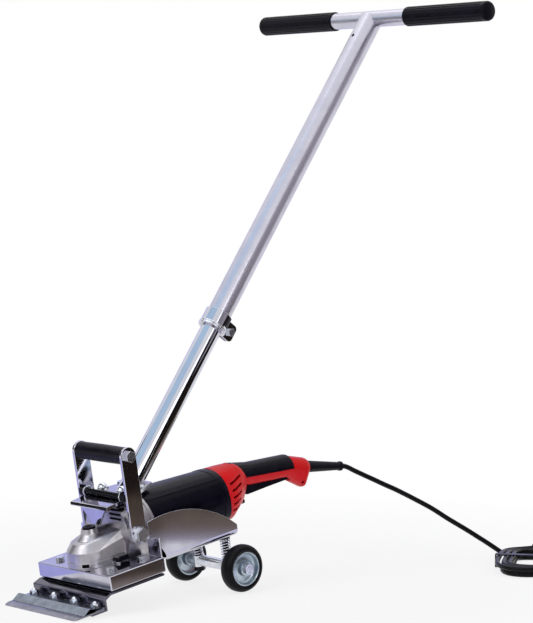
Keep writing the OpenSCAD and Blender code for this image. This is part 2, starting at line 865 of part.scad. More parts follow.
module motor_shaft() {
    color("gray") on_motor() union() {
        translate([0, 0, spindle_y + gear_in_r]) cylinder(r = shaft_r - over, h = shaft_end_y - spindle_y - gear_in_r);
        translate([0, 0, front_bearing_y - over]) cylinder(r = shaft_r, h = shaft_end_y - front_bearing_y + over);
        translate([0, 0, spindle_y + gear_in_r]) cylinder(
            r1 = gear_in_r / gear_ratio - loose, r2 = gear_r / gear_ratio - loose, h = gear_r - gear_in_r);
    }
}
module commutator() {
    color("orange") on_motor() translate([0, 0, commutator_y]) ring(commutator_r, shaft_r + seat, commutator_l);
}
module fan() {
    color("darkslategray") on_motor() translate([0, 0, fan_y]) difference() {
        union() {
            cylinder(r = fan_r, h = fan_t / 4);
            cylinder(r = 2 * shaft_r, h = fan_t);
            for (a = [0:360 / fan_blades:359]) rotate([0, 0, a])
                translate([2 * shaft_r - over, -fan_blade_t / 2, 0])
                    cube([fan_r - 2 * shaft_r, fan_blade_t, fan_t]);
        }
        translate([0, 0, -over]) cylinder(r = shaft_r + seat, h = fan_t + 2 * over);
    }
}
module carbon_brushes() {
    color("dimgray") on_head() both_sides() translate([0, brush_y, motor_h])
        rod_x(brush_r, commutator_r + loose, commutator_r + loose + brush_l);
}

// Rear handle
module dome_form(inset) {
    front_y = slant_y - case_r / 2;
    hull() {
        disc_y(front_y, motor_h, motor_r_at(front_y) - inset);
        disc_y(dome_y, motor_h, motor_r - inset);
        ball(dome_low_y, dome_low_h, dome_low_r - inset, 1);
        ball(dome_high_y, dome_high_h, dome_high_r - inset, 1);
    }
}
module grip_form(inset) {
    hull() {
        ball(grip_root_y, grip_root_h, grip_r - inset, grip_w_share);
        ball(grip_front_y, grip_front_h, grip_r - inset, grip_w_share);
    }
    hull() {
        ball(grip_front_y, grip_front_h, grip_r - inset, grip_w_share);
        ball(grip_rear_y, grip_rear_h, grip_r - inset, grip_w_share);
    }
}
module tail_form(inset) {
    hull() {
        ball(grip_rear_y, grip_rear_h, grip_r - inset, grip_w_share);
        ball(tail_y, tail_h, tail_r - inset, grip_w_share);
        ball(lobe_y, lobe_h, lobe_r - inset, lobe_w_share);
    }
}
module switch_box(gap) {
    translate([-switch_w / 2 - gap, switch_y - gap, switch_z - switch_h / 2 - gap])
        cube([switch_w + 2 * gap, switch_l + 2 * gap, switch_h + 2 * gap]);
}
module screw_places() {
    for (i = [0:len(screw_ys) - 1]) translate([-screw_xs[i], screw_ys[i], screw_zs[i]]) children();
}
module trigger_well() {
    w = trigger_w + 2 * loose;
    swing = (trigger_pin_z - trigger_low) * trigger_travel / (trigger_pin_y - trigger_front_y) + loose;
    translate([-w / 2, trigger_front_y - swing, -case_r])
        cube([w, trigger_rear_y + trigger_eye_r + loose - trigger_front_y + swing,
            case_r + trigger_top + trigger_travel]);
}
module handle_half(s) {
    reach = 4 * case_r;
    difference() {
        union() {
            dome_form(0);
            grip_form(0);
            tail_form(0);
        }
        difference() {
            union() {
                dome_form(wall);
                grip_form(wall);
                tail_form(wall);
            }
            for (y = rib_ys) translate([-reach / 2, y, -reach / 2]) cube([reach, rib_t, reach]);
            screw_places() rod_x(screw_boss_r, 0, reach);
            screw_places() rod_x(screw_head_r + screw_boss_r / 2, -reach, 0);
        }
        translate([0, slant_y, motor_h]) rotate([slant, 0, 0]) translate([-reach / 2, -reach, -reach / 2])
            cube([reach, reach, reach]);
        translate([s > 0 ? -reach : 0, 0, -reach / 2]) cube([reach, 3 * reach, reach]);
        switch_box(seat);
        trigger_well();
        translate([0, trigger_pin_y, trigger_pin_z])
            rod_x(trigger_pin_r + run_gap, -trigger_pin_l / 2 - loose, trigger_pin_l / 2 + loose);
        translate([0, lock_y - lock_travel - loose, lock_z]) rotate([-90, 0, 0])
            cylinder(r = lock_r + loose, h = 2 * lock_l);
        for (i = [0:slot_n - 1]) translate([0, slot_y, slot_low + i * slot_pitch]) rotate([slot_lean, 0, 0])
            translate([s > 0 ? dome_low_r / 2 : -reach, 0, 0]) cube([reach - dome_low_r / 2, slot_l + i * slot_grow, slot_h]);
        translate([0, boot_y, boot_h]) rotate([-90 - boot_dip, 0, 0]) translate([0, 0, -seat])
            cylinder(r = boot_r + seat, h = boot_l);
        screw_places() rod_x(screw_r + seat, -over, reach);
        screw_places() rod_x(screw_head_r + seat, -reach, 0);
    }
}
module handle_left() {
    color(red) on_head() handle_half(-1);
}
module handle_right() {
    color(red) on_head() handle_half(1);
}
module handle_overmould() {
    reach = 4 * case_r;
    low = grip_front_h + grip_r * overmould_low_share;
    rear_low = grip_rear_h - overmould_rear_drop;
    color(black) on_head() difference() {
        intersection() {
            union() {
                grip_form(-overmould_t);
                tail_form(-overmould_t);
            }
            side_plate(reach) polygon([
                [overmould_from, low], [overmould_to, rear_low], [overmould_to, low + case_r],
                [overmould_from, low + case_r]
            ]);
        }
        dome_form(0);
        grip_form(0);
        tail_form(0);
        screw_places() rod_x(screw_head_r + seat, -reach, 0);
    }
}
module handle_screws() {
    color("dimgray") on_head() for (i = [0:len(screw_ys) - 1])
        translate([-screw_xs[i], screw_ys[i], screw_zs[i]]) union() {
            rod_x(screw_head_r, -screw_head_t, 0);
            rod_x(screw_r, 0, screw_xs[i] + screw_tip);
        }
}
module switch_body() {
    color("dimgray") on_head() switch_box(0);
}
module trigger() {
    color(black) on_head() union() {
        side_plate(trigger_w) polygon([
            [trigger_front_y, trigger_low], [trigger_step_y, trigger_step_low],
            [trigger_rear_y, trigger_rear_low], [trigger_rear_y, trigger_pin_z], [trigger_front_y, trigger_top]
        ]);
        translate([0, trigger_pin_y, trigger_pin_z]) rod_x(trigger_eye_r, -trigger_w / 2, trigger_w / 2);
        translate([0, trigger_pin_y, trigger_pin_z]) rod_x(trigger_pin_r, -trigger_pin_l / 2, trigger_pin_l / 2);
    }
}
module lock_button() {
    color(black) on_head() translate([0, lock_y, lock_z]) rotate([-90, 0, 0]) cylinder(r = lock_r, h = lock_l);
}
module cord_boot() {
    base_l = boot_l / 5;
    color(black) on_boot() rotate_extrude() polygon([
        [0, 0], [boot_r, 0], [boot_r, base_l], [boot_end_r, boot_l - boot_bead_l],
        [boot_bead_r, boot_l - boot_bead_l], [boot_bead_r, boot_l], [0, boot_l]
    ]);
}

// Saddle and post
module saddle_plate() {
    color(chrome) on_saddle() difference() {
        union() {
            linear_extrude(saddle_t) polygon([
                [-saddle_w / 2, 0], [saddle_w / 2, 0], [saddle_w / 2, saddle_side_l], [saddle_rear_w / 2, saddle_l],
                [-saddle_rear_w / 2, saddle_l], [-saddle_w / 2, saddle_side_l]
            ]);
            translate([0, 0, saddle_t - saddle_edge_r]) rod_x(saddle_edge_r, -saddle_w / 2, saddle_w / 2);
            translate([0, web_y + web_t, 0]) rotate([90, 0, 0]) linear_extrude(web_t) polygon([
                [-web_top_w / 2, 0], [-web_low_w / 2, -web_h], [web_low_w / 2, -web_h], [web_top_w / 2, 0]
            ]);
        }
        saddle_bolt_places() translate([0, 0, -over])
            cylinder(d = saddle_bolt_d + 2 * seat, h = saddle_t + 2 * over);
        foot_bolt_places() translate([0, 0, -over])
            cylinder(d = foot_bolt_d + 2 * seat, h = saddle_t + 2 * over);
    }
}
module foot_bolt_places() {
    for (x = [-foot_bolt_dx / 2, foot_bolt_dx / 2]) translate([x, foot_bolt_y, 0]) children();
}
module saddle_bolts() {
    top = saddle_t + saddle_bolt_d * head_h_share;
    color("silver") on_saddle() {
        saddle_bolt_places() union() {
            translate([0, 0, -saddle_bolt_grip]) cylinder(d = saddle_bolt_d, h = saddle_bolt_grip + saddle_t);
            translate([0, 0, saddle_t]) hex_head(saddle_bolt_d);
            translate([0, 0, top]) sphere(d = saddle_bolt_d * head_af_share);
        }
        foot_bolt_places() translate([0, 0, saddle_t]) hex_bolt(foot_bolt_d, saddle_t + foot_bolt_grip);
    }
}
module lower_tube() {
    sunk = 2 * lower_tube_d;
    color(chrome) difference() {
        on_post() translate([0, 0, -sunk]) ring(lower_tube_d / 2, lower_tube_d / 2 - tube_wall, lower_tube_l + sunk);
        on_saddle() translate([-saddle_w, -saddle_l, -2 * sunk + saddle_t]) cube([2 * saddle_w, 3 * saddle_l, 2 * sunk]);
    }
}
module upper_tube() {
    color("lightgray") on_post() difference() {
        translate([0, 0, clamp_at]) ring(upper_tube_r, upper_tube_in, tee_at - clamp_at);
        translate([0, 0, tee_at]) rod_x(tee_d / 2 + seat, -tee_w / 2, tee_w / 2);
        translate([0, 0, tee_at - hang_hole_drop]) rotate([90, 0, 0]) cylinder(d = hang_hole_d, h = 2 * upper_tube_r);
        translate([-clamp_slit / 2, 0, clamp_at - over]) cube([clamp_slit, 2 * upper_tube_r, clamp_h + over]);
    }
}
module clamp_bolt_place() {
    translate([0, upper_tube_r + clamp_band + clamp_ear_l / 2, clamp_at + clamp_h / 2]) children();
}
module clamp_collar() {
    r = upper_tube_r + clamp_band;
    ear_x = clamp_slit / 2 + clamp_ear_t;
    color(chrome) on_post() difference() {
        union() {
            translate([0, 0, clamp_at]) cylinder(r = r, h = clamp_h);
            hull() {
                translate([-ear_x, 0, clamp_at]) cube([2 * ear_x, r, clamp_h]);
                for (z = [clamp_ear_r, clamp_h - clamp_ear_r])
                    translate([0, r + clamp_ear_l - clamp_ear_r, clamp_at + z]) rod_x(clamp_ear_r, -ear_x, ear_x);
            }
        }
        translate([0, 0, clamp_at - over]) cylinder(r = upper_tube_r + seat, h = clamp_h + 2 * over);
        translate([-clamp_slit / 2, 0, clamp_at - over]) cube([clamp_slit, 2 * r + clamp_ear_l, clamp_h + 2 * over]);
        clamp_bolt_place() rod_x(clamp_bolt_d / 2 + seat, -2 * ear_x, 2 * ear_x);
    }
}
module clamp_bolt() {
    ear_x = clamp_slit / 2 + clamp_ear_t;
    nut_t = clamp_bolt_d * head_h_share;
    color("silver") on_post() clamp_bolt_place() {
        translate([ear_x, 0, 0]) rotate([0, 90, 0]) hex_bolt(clamp_bolt_d, 2 * ear_x + nut_t + over);
        difference() {
            translate([-ear_x, 0, 0]) rotate([0, -90, 0]) hex_head(clamp_bolt_d);
            rod_x(clamp_bolt_d / 2 + seat, -3 * ear_x, 0);
        }
    }
}
module tee_bar() {
    half = tee_w / 2 - grip_cap;
    color("lightgray") on_post() translate([0, 0, tee_at]) difference() {
        rod_x(tee_d / 2, -half, half);
        rod_x(tee_d / 2 - tee_wall, -half - over, half + over);
    }
}
module tee_grips() {
    end = tee_w / 2;
    color(black) on_post() translate([0, 0, tee_at]) both_sides() difference() {
        rod_x(tee_grip_d / 2, end - tee_grip_l, end);
        rod_x(tee_d / 2 + seat, end - tee_grip_l - over, end - grip_cap);
    }
}

// Front handle
module handle_bars() {
    color(chrome) on_head() both_sides() difference() {
        translate([bar_in + bar_t / 2, 0, 0]) side_plate(bar_t) union() {
            translate([bar_y - bar_w / 2, motor_h]) square([bar_w, grip_h - motor_h]);
            translate([bar_y, motor_h]) circle(d = bar_w);
            translate([bar_y, grip_h]) circle(d = bar_w);
        }
        translate([0, bar_y, motor_h]) rod_x(side_bolt_d / 2 + seat, 0, 2 * bar_in);
        translate([0, bar_y, grip_h]) rod_x(grip_bolt_d / 2 + seat, 0, 2 * bar_in);
    }
}
module front_grip() {
    color(black) on_head() translate([0, bar_y, grip_h]) difference() {
        rod_x(front_grip_d / 2, -bar_in, bar_in);
        rod_x(core_d / 2 + seat, -bar_in - over, bar_in + over);
    }
}
module grip_rod() {
    color("silver") on_head() translate([0, bar_y, grip_h]) {
        difference() {
            rod_x(core_d / 2, -bar_in, bar_in);
            rod_x(grip_bolt_d / 2 + seat, -bar_in - over, bar_in + over);
        }
        both_sides() translate([bar_in + bar_t, 0, 0]) rotate([0, 90, 0]) hex_bolt(grip_bolt_d, bar_t + grip_bolt_l);
    }
}
module side_bolts() {
    out = bar_in + bar_t;
    color("silver") on_head() both_sides() translate([0, bar_y, motor_h]) {
        translate([out, 0, 0]) rotate([0, 90, 0])
            ring(side_bolt_d * washer_share / 2, side_bolt_d / 2 + seat, side_washer_t);
        translate([out + side_washer_t, 0, 0]) rotate([0, 90, 0])
            hex_bolt(side_bolt_d, side_washer_t + bar_t + side_bolt_l - over);
    }
}
module tie_rod() {
    h = saddle_h + (tie_y - saddle_y) * tan(saddle_tilt) + saddle_t / cos(saddle_tilt);
    nut_r = tie_nut_d * head_af_share / 2;
    color("dimgray") on_head() translate([0, tie_y, h + tie_r + loose]) union() {
        rod_x(tie_r, -bar_in, bar_in);
        both_sides() translate([bar_in - tie_nut_t, 0, 0]) rotate([0, 90, 0])
            cylinder(r = nut_r / cos(30), h = tie_nut_t, $fn = 6);
    }
}

// Cradle and suspension
module cradle_section(half, floor_z) {
    top = arch_r + arch_z;
    square_half = half - cradle_bend_r;
    translate([-half, floor_z + cradle_bend_r]) square([2 * half, 2 * top]);
    translate([-square_half, floor_z]) square([2 * square_half, cradle_bend_r + over]);
    for (s = [-1, 1]) translate([s * square_half, floor_z + cradle_bend_r]) circle(r = cradle_bend_r);
}
module guide_places() {
    for (x = [-guide_dx / 2, guide_dx / 2]) translate([x, axle_y, 0]) children();
}
module cradle() {
    start_y = housing_l;
    low = cradle_floor - sheet_t;
    outer = cradle_in + sheet_t;
    color(chrome) on_head() difference() {
        intersection() {
            translate([0, start_y + cradle_l, 0]) rotate([90, 0, 0]) linear_extrude(cradle_l) difference() {
                cradle_section(outer, low);
                cradle_section(cradle_in, cradle_floor);
            }
            side_plate(4 * outer) intersection() {
                translate([arch_y, arch_z]) circle(r = arch_r, $fn = 180);
                translate([start_y, low]) square([cradle_l, 2 * arch_r]);
            }
        }
        side_plate(4 * outer) polygon([
            [start_y - over, low - over], [nose_cut_y + nose_cut_run, low - over],
            [nose_cut_y, low + nose_cut_h], [start_y - over, low + nose_cut_h]
        ]);
        guide_places() translate([0, 0, low - over]) cylinder(d = guide_d + 2 * seat, h = sheet_t + 2 * over);
    }
}
module guide_bolts() {
    head_top = axle_z - boss_h / 2 - loose;
    nut_top = cradle_floor + guide_nut_h;
    color("silver") on_head() guide_places() {
        union() {
            translate([0, 0, head_top]) cylinder(d = guide_d, h = nut_top - head_top);
            translate([0, 0, head_top - guide_head_h])
                cylinder(d = guide_d * head_af_share / cos(30), h = guide_head_h, $fn = 6);
        }
        translate([0, 0, cradle_floor]) difference() {
            cylinder(d = guide_d * head_af_share / cos(30), h = guide_nut_h, $fn = 6);
            translate([0, 0, -over]) cylinder(d = guide_d + 2 * seat, h = guide_nut_h + 2 * over);
        }
        translate([0, 0, spring_top]) ring(collar_r, guide_d / 2 + seat, collar_h);
    }
}
function spring_points() =
    let (low = spring_low + wire_d / 2 + seat, high = spring_top - wire_d / 2 - seat, steps = curl_rings * spring_turns,
        p = [for (i = [0:steps]) let (a = 360 * i / curl_rings)
            [spring_r * cos(a), spring_r * sin(a), low + (high - low) * i / steps]])
    concat([p[0] - wire_d * unit(p[1] - p[0])], p, [p[steps] + wire_d * unit(p[steps] - p[steps - 1])]);
module spring(s) {
    points = spring_points();
    echo(spring_gap = least_gap(points, curl_rings / 2, wire_d));
    color("silver") on_head() translate([s * guide_dx / 2, axle_y, 0]) tube(points, wire_d / 2, wire_sides);
}
module spring_left() {
    spring(-1);
}
module spring_right() {
    spring(1);
}
module axle_tube() {
    half = track / 2 - tyre_w / 2 - hub_over - loose;
    color("silver") on_head() difference() {
        union() {
            translate([0, axle_y, axle_z]) rod_x(axle_tube_d / 2, -half, half);
            guide_places() translate([0, 0, axle_z - boss_h / 2]) cylinder(r = axle_boss_r, h = boss_h);
        }
        both_sides() translate([0, axle_y, axle_z]) rod_x(axle_r + seat, axle_in - over, half + over);
        guide_places() translate([0, 0, axle_z - boss_h]) cylinder(d = guide_d + 2 * run_gap, h = 2 * boss_h);
    }
}
module stub_axles() {
    out = track / 2 + tyre_w / 2 + hub_over + loose + axle_nut_h;
    color("silver") on_head() both_sides() translate([0, axle_y, axle_z]) rod_x(axle_r, axle_in, out);
}
module axle_nuts() {
    in = track / 2 + tyre_w / 2 + hub_over + loose;
    color("silver") on_head() both_sides() translate([in, axle_y, axle_z]) rotate([0, 90, 0]) difference() {
        cylinder(d = axle_nut_af / cos(30), h = axle_nut_h, $fn = 6);
        translate([0, 0, -over]) cylinder(r = axle_r + seat, h = axle_nut_h + 2 * over);
    }
}
module on_wheel(s) {
    on_head() translate([s * track / 2, axle_y, axle_z]) rotate([0, 90, 0]) children();
}
module tyre(s) {
    color(black) on_wheel(s) rotate_extrude() intersection() {
        translate([rim_r, -tyre_w / 2]) square([wheel_r - rim_r, tyre_w]);
        translate([wheel_r - tyre_crown_r, 0]) circle(r = tyre_crown_r);
    }
}
module rim(s) {
    w = tyre_w / 2 - rim_inset;
    hub = tyre_w / 2 + hub_over;
    color(steel) on_wheel(s) rotate_extrude() union() {
        translate([rim_r - rim_wall, -w]) square([rim_wall - seat, 2 * w]);
        translate([hub_r - over, -rim_web / 2]) square([rim_r - rim_wall - hub_r + 2 * over, rim_web]);
        translate([axle_r + run_gap, -hub]) square([hub_r - axle_r - run_gap, 2 * hub]);
    }
}
module tyre_left() {
    tyre(-1);
}
module tyre_right() {
    tyre(1);
}
module rim_left() {
    rim(-1);
}
module rim_right() {
    rim(1);
}

// Cord, hank, tie and plug
function hank_local(a) =
    let (m = abs(a - hank_back) / 360 * hank_step, rise = min(1, max(0, (a - hank_back) / hank_climb + 1 / 2)))
    [-(hank_half_w + m) * cos(a) + hank_waist * pow(cos(a), 3), (hank_half_l + m) * sin(a),
        cord_r + (tie_band_t + loose) * pow(cos(a), 2) + cord_d * hank_layer_share * rise];
function hank_turned(v) =
    [v.x * cos(hank_turn) - v.y * sin(hank_turn), v.x * sin(hank_turn) + v.y * cos(hank_turn), v.z];
function hank_place() =
    let (from = cord_points[len(cord_points) - 1], step = 360 / hank_rings,
        p = hank_turned(hank_local(hank_start)), q = hank_turned(hank_local(hank_start + step)))
    from - p + cord_d * unit(q - p);
function hank_path(rings) =
    let (n = rings * hank_loops, place = [hank_place().x, hank_place().y, 0],
        p = [for (i = [0:n]) place + hank_turned(hank_local(hank_start + 360 * i / rings))],
        out = unit([p[n].x - p[n - 1].x, p[n].y - p[n - 1].y, 0]))
    concat([p[0] - cord_d * unit(p[1] - p[0])], p, [p[n] + cord_d * out, p[n] + hank_tail * out]);
module cord_run() {
    color(black) tube(cord_points, cord_r, cord_sides);
}
module cord_hank() {
    fine = 2 * hank_rings;
    path = hank_path(fine);
    echo(cord_length = path_length(cord_points) + path_length(path));
    echo(hank_gap = least_gap(path, fine / 2, cord_d));
    color(black) tube(hank_path(hank_rings), cord_r, hank_sides);
}
module cord_tie() {
    last = hank_start + 360 * hank_loops;
    near = [for (a = [hank_start:last]) if (abs(hank_local(a).y) < tie_band_w) hank_local(a)];
    left = min([for (v = near) v.x]) - cord_r - loose;
    right = max([for (v = near) v.x]) + cord_r + loose;
    top = max([for (v = near) v.z]) + cord_r + loose;
    place = [hank_place().x, hank_place().y, 0];
    color("dimgray") translate(place) rotate([0, 0, hank_turn]) difference() {
        translate([left - tie_band_t, -tie_band_w / 2, 0])
            cube([right - left + 2 * tie_band_t, tie_band_w, top + tie_band_t]);
        translate([left, -tie_band_w, tie_band_t]) cube([right - left, 2 * tie_band_w, top - tie_band_t]);
    }
}
module plug() {
    path = hank_path(hank_rings);
    last = len(path) - 1;
    way = path[last] - path[last - 1];
    round_r = plug_h / 2;
    color(black) translate(path[last]) rotate([0, 0, atan2(way.y, way.x)]) rotate([90, 0, 90]) union() {
        cylinder(r = plug_neck_r, h = plug_neck_l + over);
        translate([0, 0, plug_neck_l]) linear_extrude(plug_l) union() {
            square([plug_w - plug_h, plug_h], center = true);
            for (s = [-1, 1]) translate([s * (plug_w / 2 - round_r), 0]) circle(r = round_r);
        }
        for (s = [-1, 1]) translate([s * plug_pin_dx / 2, 0, plug_neck_l + plug_l - over])
            cylinder(r = plug_pin_r, h = plug_pin_l + over);
    }
}

slide_housing();
housing_bolts();
guide_rails();
slide_block();
carriage_plate();
blade();
clamp_plate();
blade_studs();
gear_case();
bearing_cap();
guard_lever();
spindle_button();
motor_housing();
handle_left();
handle_right();
handle_overmould();
handle_screws();
trigger();
lock_button();
cord_boot();
stator();
armature();
motor_shaft();
commutator();
fan();
carbon_brushes();
ball_bearings();
crown_gear();
spindle();
eccentric();
eccentric_bearing();
switch_body();
saddle_plate();
saddle_bolts();
lower_tube();
upper_tube();
clamp_collar();
clamp_bolt();
tee_bar();
tee_grips();
handle_bars();
front_grip();
grip_rod();
side_bolts();
tie_rod();
cradle();
guide_bolts();
spring_left();
spring_right();
axle_tube();
stub_axles();
axle_nuts();
tyre_left();
tyre_right();
rim_left();
rim_right();
cord_run();
cord_hank();
cord_tie();
plug();
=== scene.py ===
"""Looks of a walk-behind power scraper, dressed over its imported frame."""

import json
import logging
import math
from dataclasses import dataclass
from enum import Enum
from typing import Any, Callable, Sequence

import bmesh
import bpy
from mathutils import Matrix, Vector

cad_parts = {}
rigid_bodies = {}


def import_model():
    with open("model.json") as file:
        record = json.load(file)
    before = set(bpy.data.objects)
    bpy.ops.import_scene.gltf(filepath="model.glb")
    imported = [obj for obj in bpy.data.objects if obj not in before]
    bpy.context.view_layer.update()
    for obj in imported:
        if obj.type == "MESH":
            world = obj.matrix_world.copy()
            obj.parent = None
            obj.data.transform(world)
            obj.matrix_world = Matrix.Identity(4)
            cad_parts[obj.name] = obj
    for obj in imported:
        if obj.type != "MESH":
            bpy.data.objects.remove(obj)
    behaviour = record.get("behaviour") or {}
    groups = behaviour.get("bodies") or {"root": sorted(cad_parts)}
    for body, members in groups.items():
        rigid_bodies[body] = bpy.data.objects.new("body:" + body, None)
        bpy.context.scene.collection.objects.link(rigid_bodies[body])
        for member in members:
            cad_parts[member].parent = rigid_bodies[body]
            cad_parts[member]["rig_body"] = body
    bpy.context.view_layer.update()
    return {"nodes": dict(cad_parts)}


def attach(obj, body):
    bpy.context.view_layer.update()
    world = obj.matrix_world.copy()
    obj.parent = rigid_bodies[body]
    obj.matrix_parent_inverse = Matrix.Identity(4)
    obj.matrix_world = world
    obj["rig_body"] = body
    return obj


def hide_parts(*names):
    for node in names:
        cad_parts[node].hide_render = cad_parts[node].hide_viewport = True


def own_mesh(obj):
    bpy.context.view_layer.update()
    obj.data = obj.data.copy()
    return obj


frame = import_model()
LOG = logging.getLogger("scraper")

BMesh = bmesh.types.BMesh
Piece = bpy.types.Object
Tree = bpy.types.NodeTree
Socket = bpy.types.NodeSocket
Pair = tuple[float, float]
Triple = tuple[float, float, float]

MM = 0.001
# Distances under this, in millimetres, count as none where a shape is spun, merged or cut.
WELD = 0.001
# The same where a node's loose triangles are merged, and the angle in degrees that counts as flat there.
NODE_WELD = 0.002
NODE_FLAT = 0.5
WHITE = (1.0, 1.0, 1.0, 1.0)
# Sockets of a Mix node that mixes colours.
MIX_SHARE, MIX_FIRST, MIX_SECOND, MIX_RESULT = 0, 6, 7, 2


# Places

class Side(Enum):
    """Sides of the part, with their sign along X."""

    LEFT = -1
    RIGHT = 1


class Place(Enum):
    """Where pieces are modelled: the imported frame, in metres, and three places on it, in millimetres."""

    FRAME = "frame"
    HEAD = "head"
    SADDLE = "saddle"
    POST = "post"


@dataclass(frozen=True)
class Stance:
    """Where the head stands, and the saddle and post on the head, in millimetres and degrees."""

    head_y: float = -241.904
    head_z: float = 49.0
    head_tilt: float = 10.0
    saddle_y: float = 41.0
    saddle_z: float = 71.0
    saddle_tilt: float = 4.5
    post_y: float = 108.0
    post_z: float = 80.285
    post_lean: float = 45.0

    def matrix(self, place: Place) -> Matrix:
        """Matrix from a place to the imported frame.

        Args:
            place: The place that a piece was modelled in.

        Returns:
            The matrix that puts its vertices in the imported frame, in metres.
        """
        if place is Place.FRAME:
            return Matrix.Identity(4)
        head = self._on(Matrix.Scale(MM, 4), self.head_y, self.head_z, self.head_tilt)
        if place is Place.SADDLE:
            return self._on(head, self.saddle_y, self.saddle_z, self.saddle_tilt)
        if place is Place.POST:
            return self._on(head, self.post_y, self.post_z, -self.post_lean)
        return head

    @staticmethod
    def _on(base: Matrix, y: float, z: float, tilt: float) -> Matrix:
        """Place on a base, in the base's plane X = 0 and turned about X by a tilt in degrees."""
        return base @ Matrix.Translation((0, y, z)) @ Matrix.Rotation(math.radians(tilt), 4, "X")


STANCE = Stance()


# Helpers for nodes and objects

def linear(colour: str, alpha: float = 1.0) -> tuple[float, float, float, float]:
    """Linear colour of an sRGB hex value.

    Args:
        colour: Hex value such as "#d8262b".
        alpha: Fourth number of the result.

    Returns:
        Linear red, green and blue, and alpha.
    """
    parts = [int(colour[i:i + 2], 16) / 255 for i in (1, 3, 5)]
    red, green, blue = [c / 12.92 if c <= 0.04045 else ((c + 0.055) / 1.055) ** 2.4 for c in parts]
    return red, green, blue, alpha


def add_node(tree: Tree, kind: str, inputs: dict[Any, Any] | None = None, **settings: Any) -> bpy.types.Node:
    """Adds one node with its settings, values and links.

    Args:
        tree: Node tree that takes the node.
        kind: The node's type name.
        inputs: Socket names or numbers with a value, or with the output socket that feeds them.
        settings: Attributes of the node.

    Returns:
        The new node.
    """
    made = tree.nodes.new(kind)
    for key, value in settings.items():
        setattr(made, key, value)
    for key, value in (inputs or {}).items():
        if isinstance(value, Socket):
            tree.links.new(value, made.inputs[key])
        else:
            made.inputs[key].default_value = value
    return made


def fresh_tree(owner: bpy.types.Material | bpy.types.World) -> Tree:
    """Turns the nodes of a material or world on and clears them.

    Args:
        owner: The material or world.

    Returns:
        Its empty node tree.
    """
    owner.use_nodes = True
    owner.node_tree.nodes.clear()
    return owner.node_tree


def distance(tree: Tree) -> Socket:
    """Socket with the distance of a point from the origin, in metres."""
    coords = add_node(tree, "ShaderNodeTexCoord").outputs["Object"]
    return add_node(tree, "ShaderNodeVectorMath", {0: coords}, operation="LENGTH").outputs["Value"]


def stand(name: str, data: bpy.types.ID) -> Piece:
    """Links a new object to the scene.

    Args:
        name: Name of the object.
        data: Its mesh, curve, lamp or camera.

    Returns:
        The object.
    """
    made = bpy.data.objects.new(name, data)
    bpy.context.scene.collection.objects.link(made)
    return made


def stand_mesh(name: str, bm: BMesh, material: bpy.types.Material) -> Piece:
    """Links a new object with the shape of a bmesh, which is freed.

    Args:
        name: Name of the object and of its mesh.
        bm: Its shape.
        material: Its material.

    Returns:
        The object.
    """
    mesh = bpy.data.meshes.new(name)
    bm.to_mesh(mesh)
    bm.free()
    mesh.materials.append(material)
    return stand(name, mesh)


def per_mm(size: float) -> float:
    """Scale of a texture whose features are size millimetres wide, on Object coordinates in metres."""
    return 1.0 / (size * MM)


# Finishes

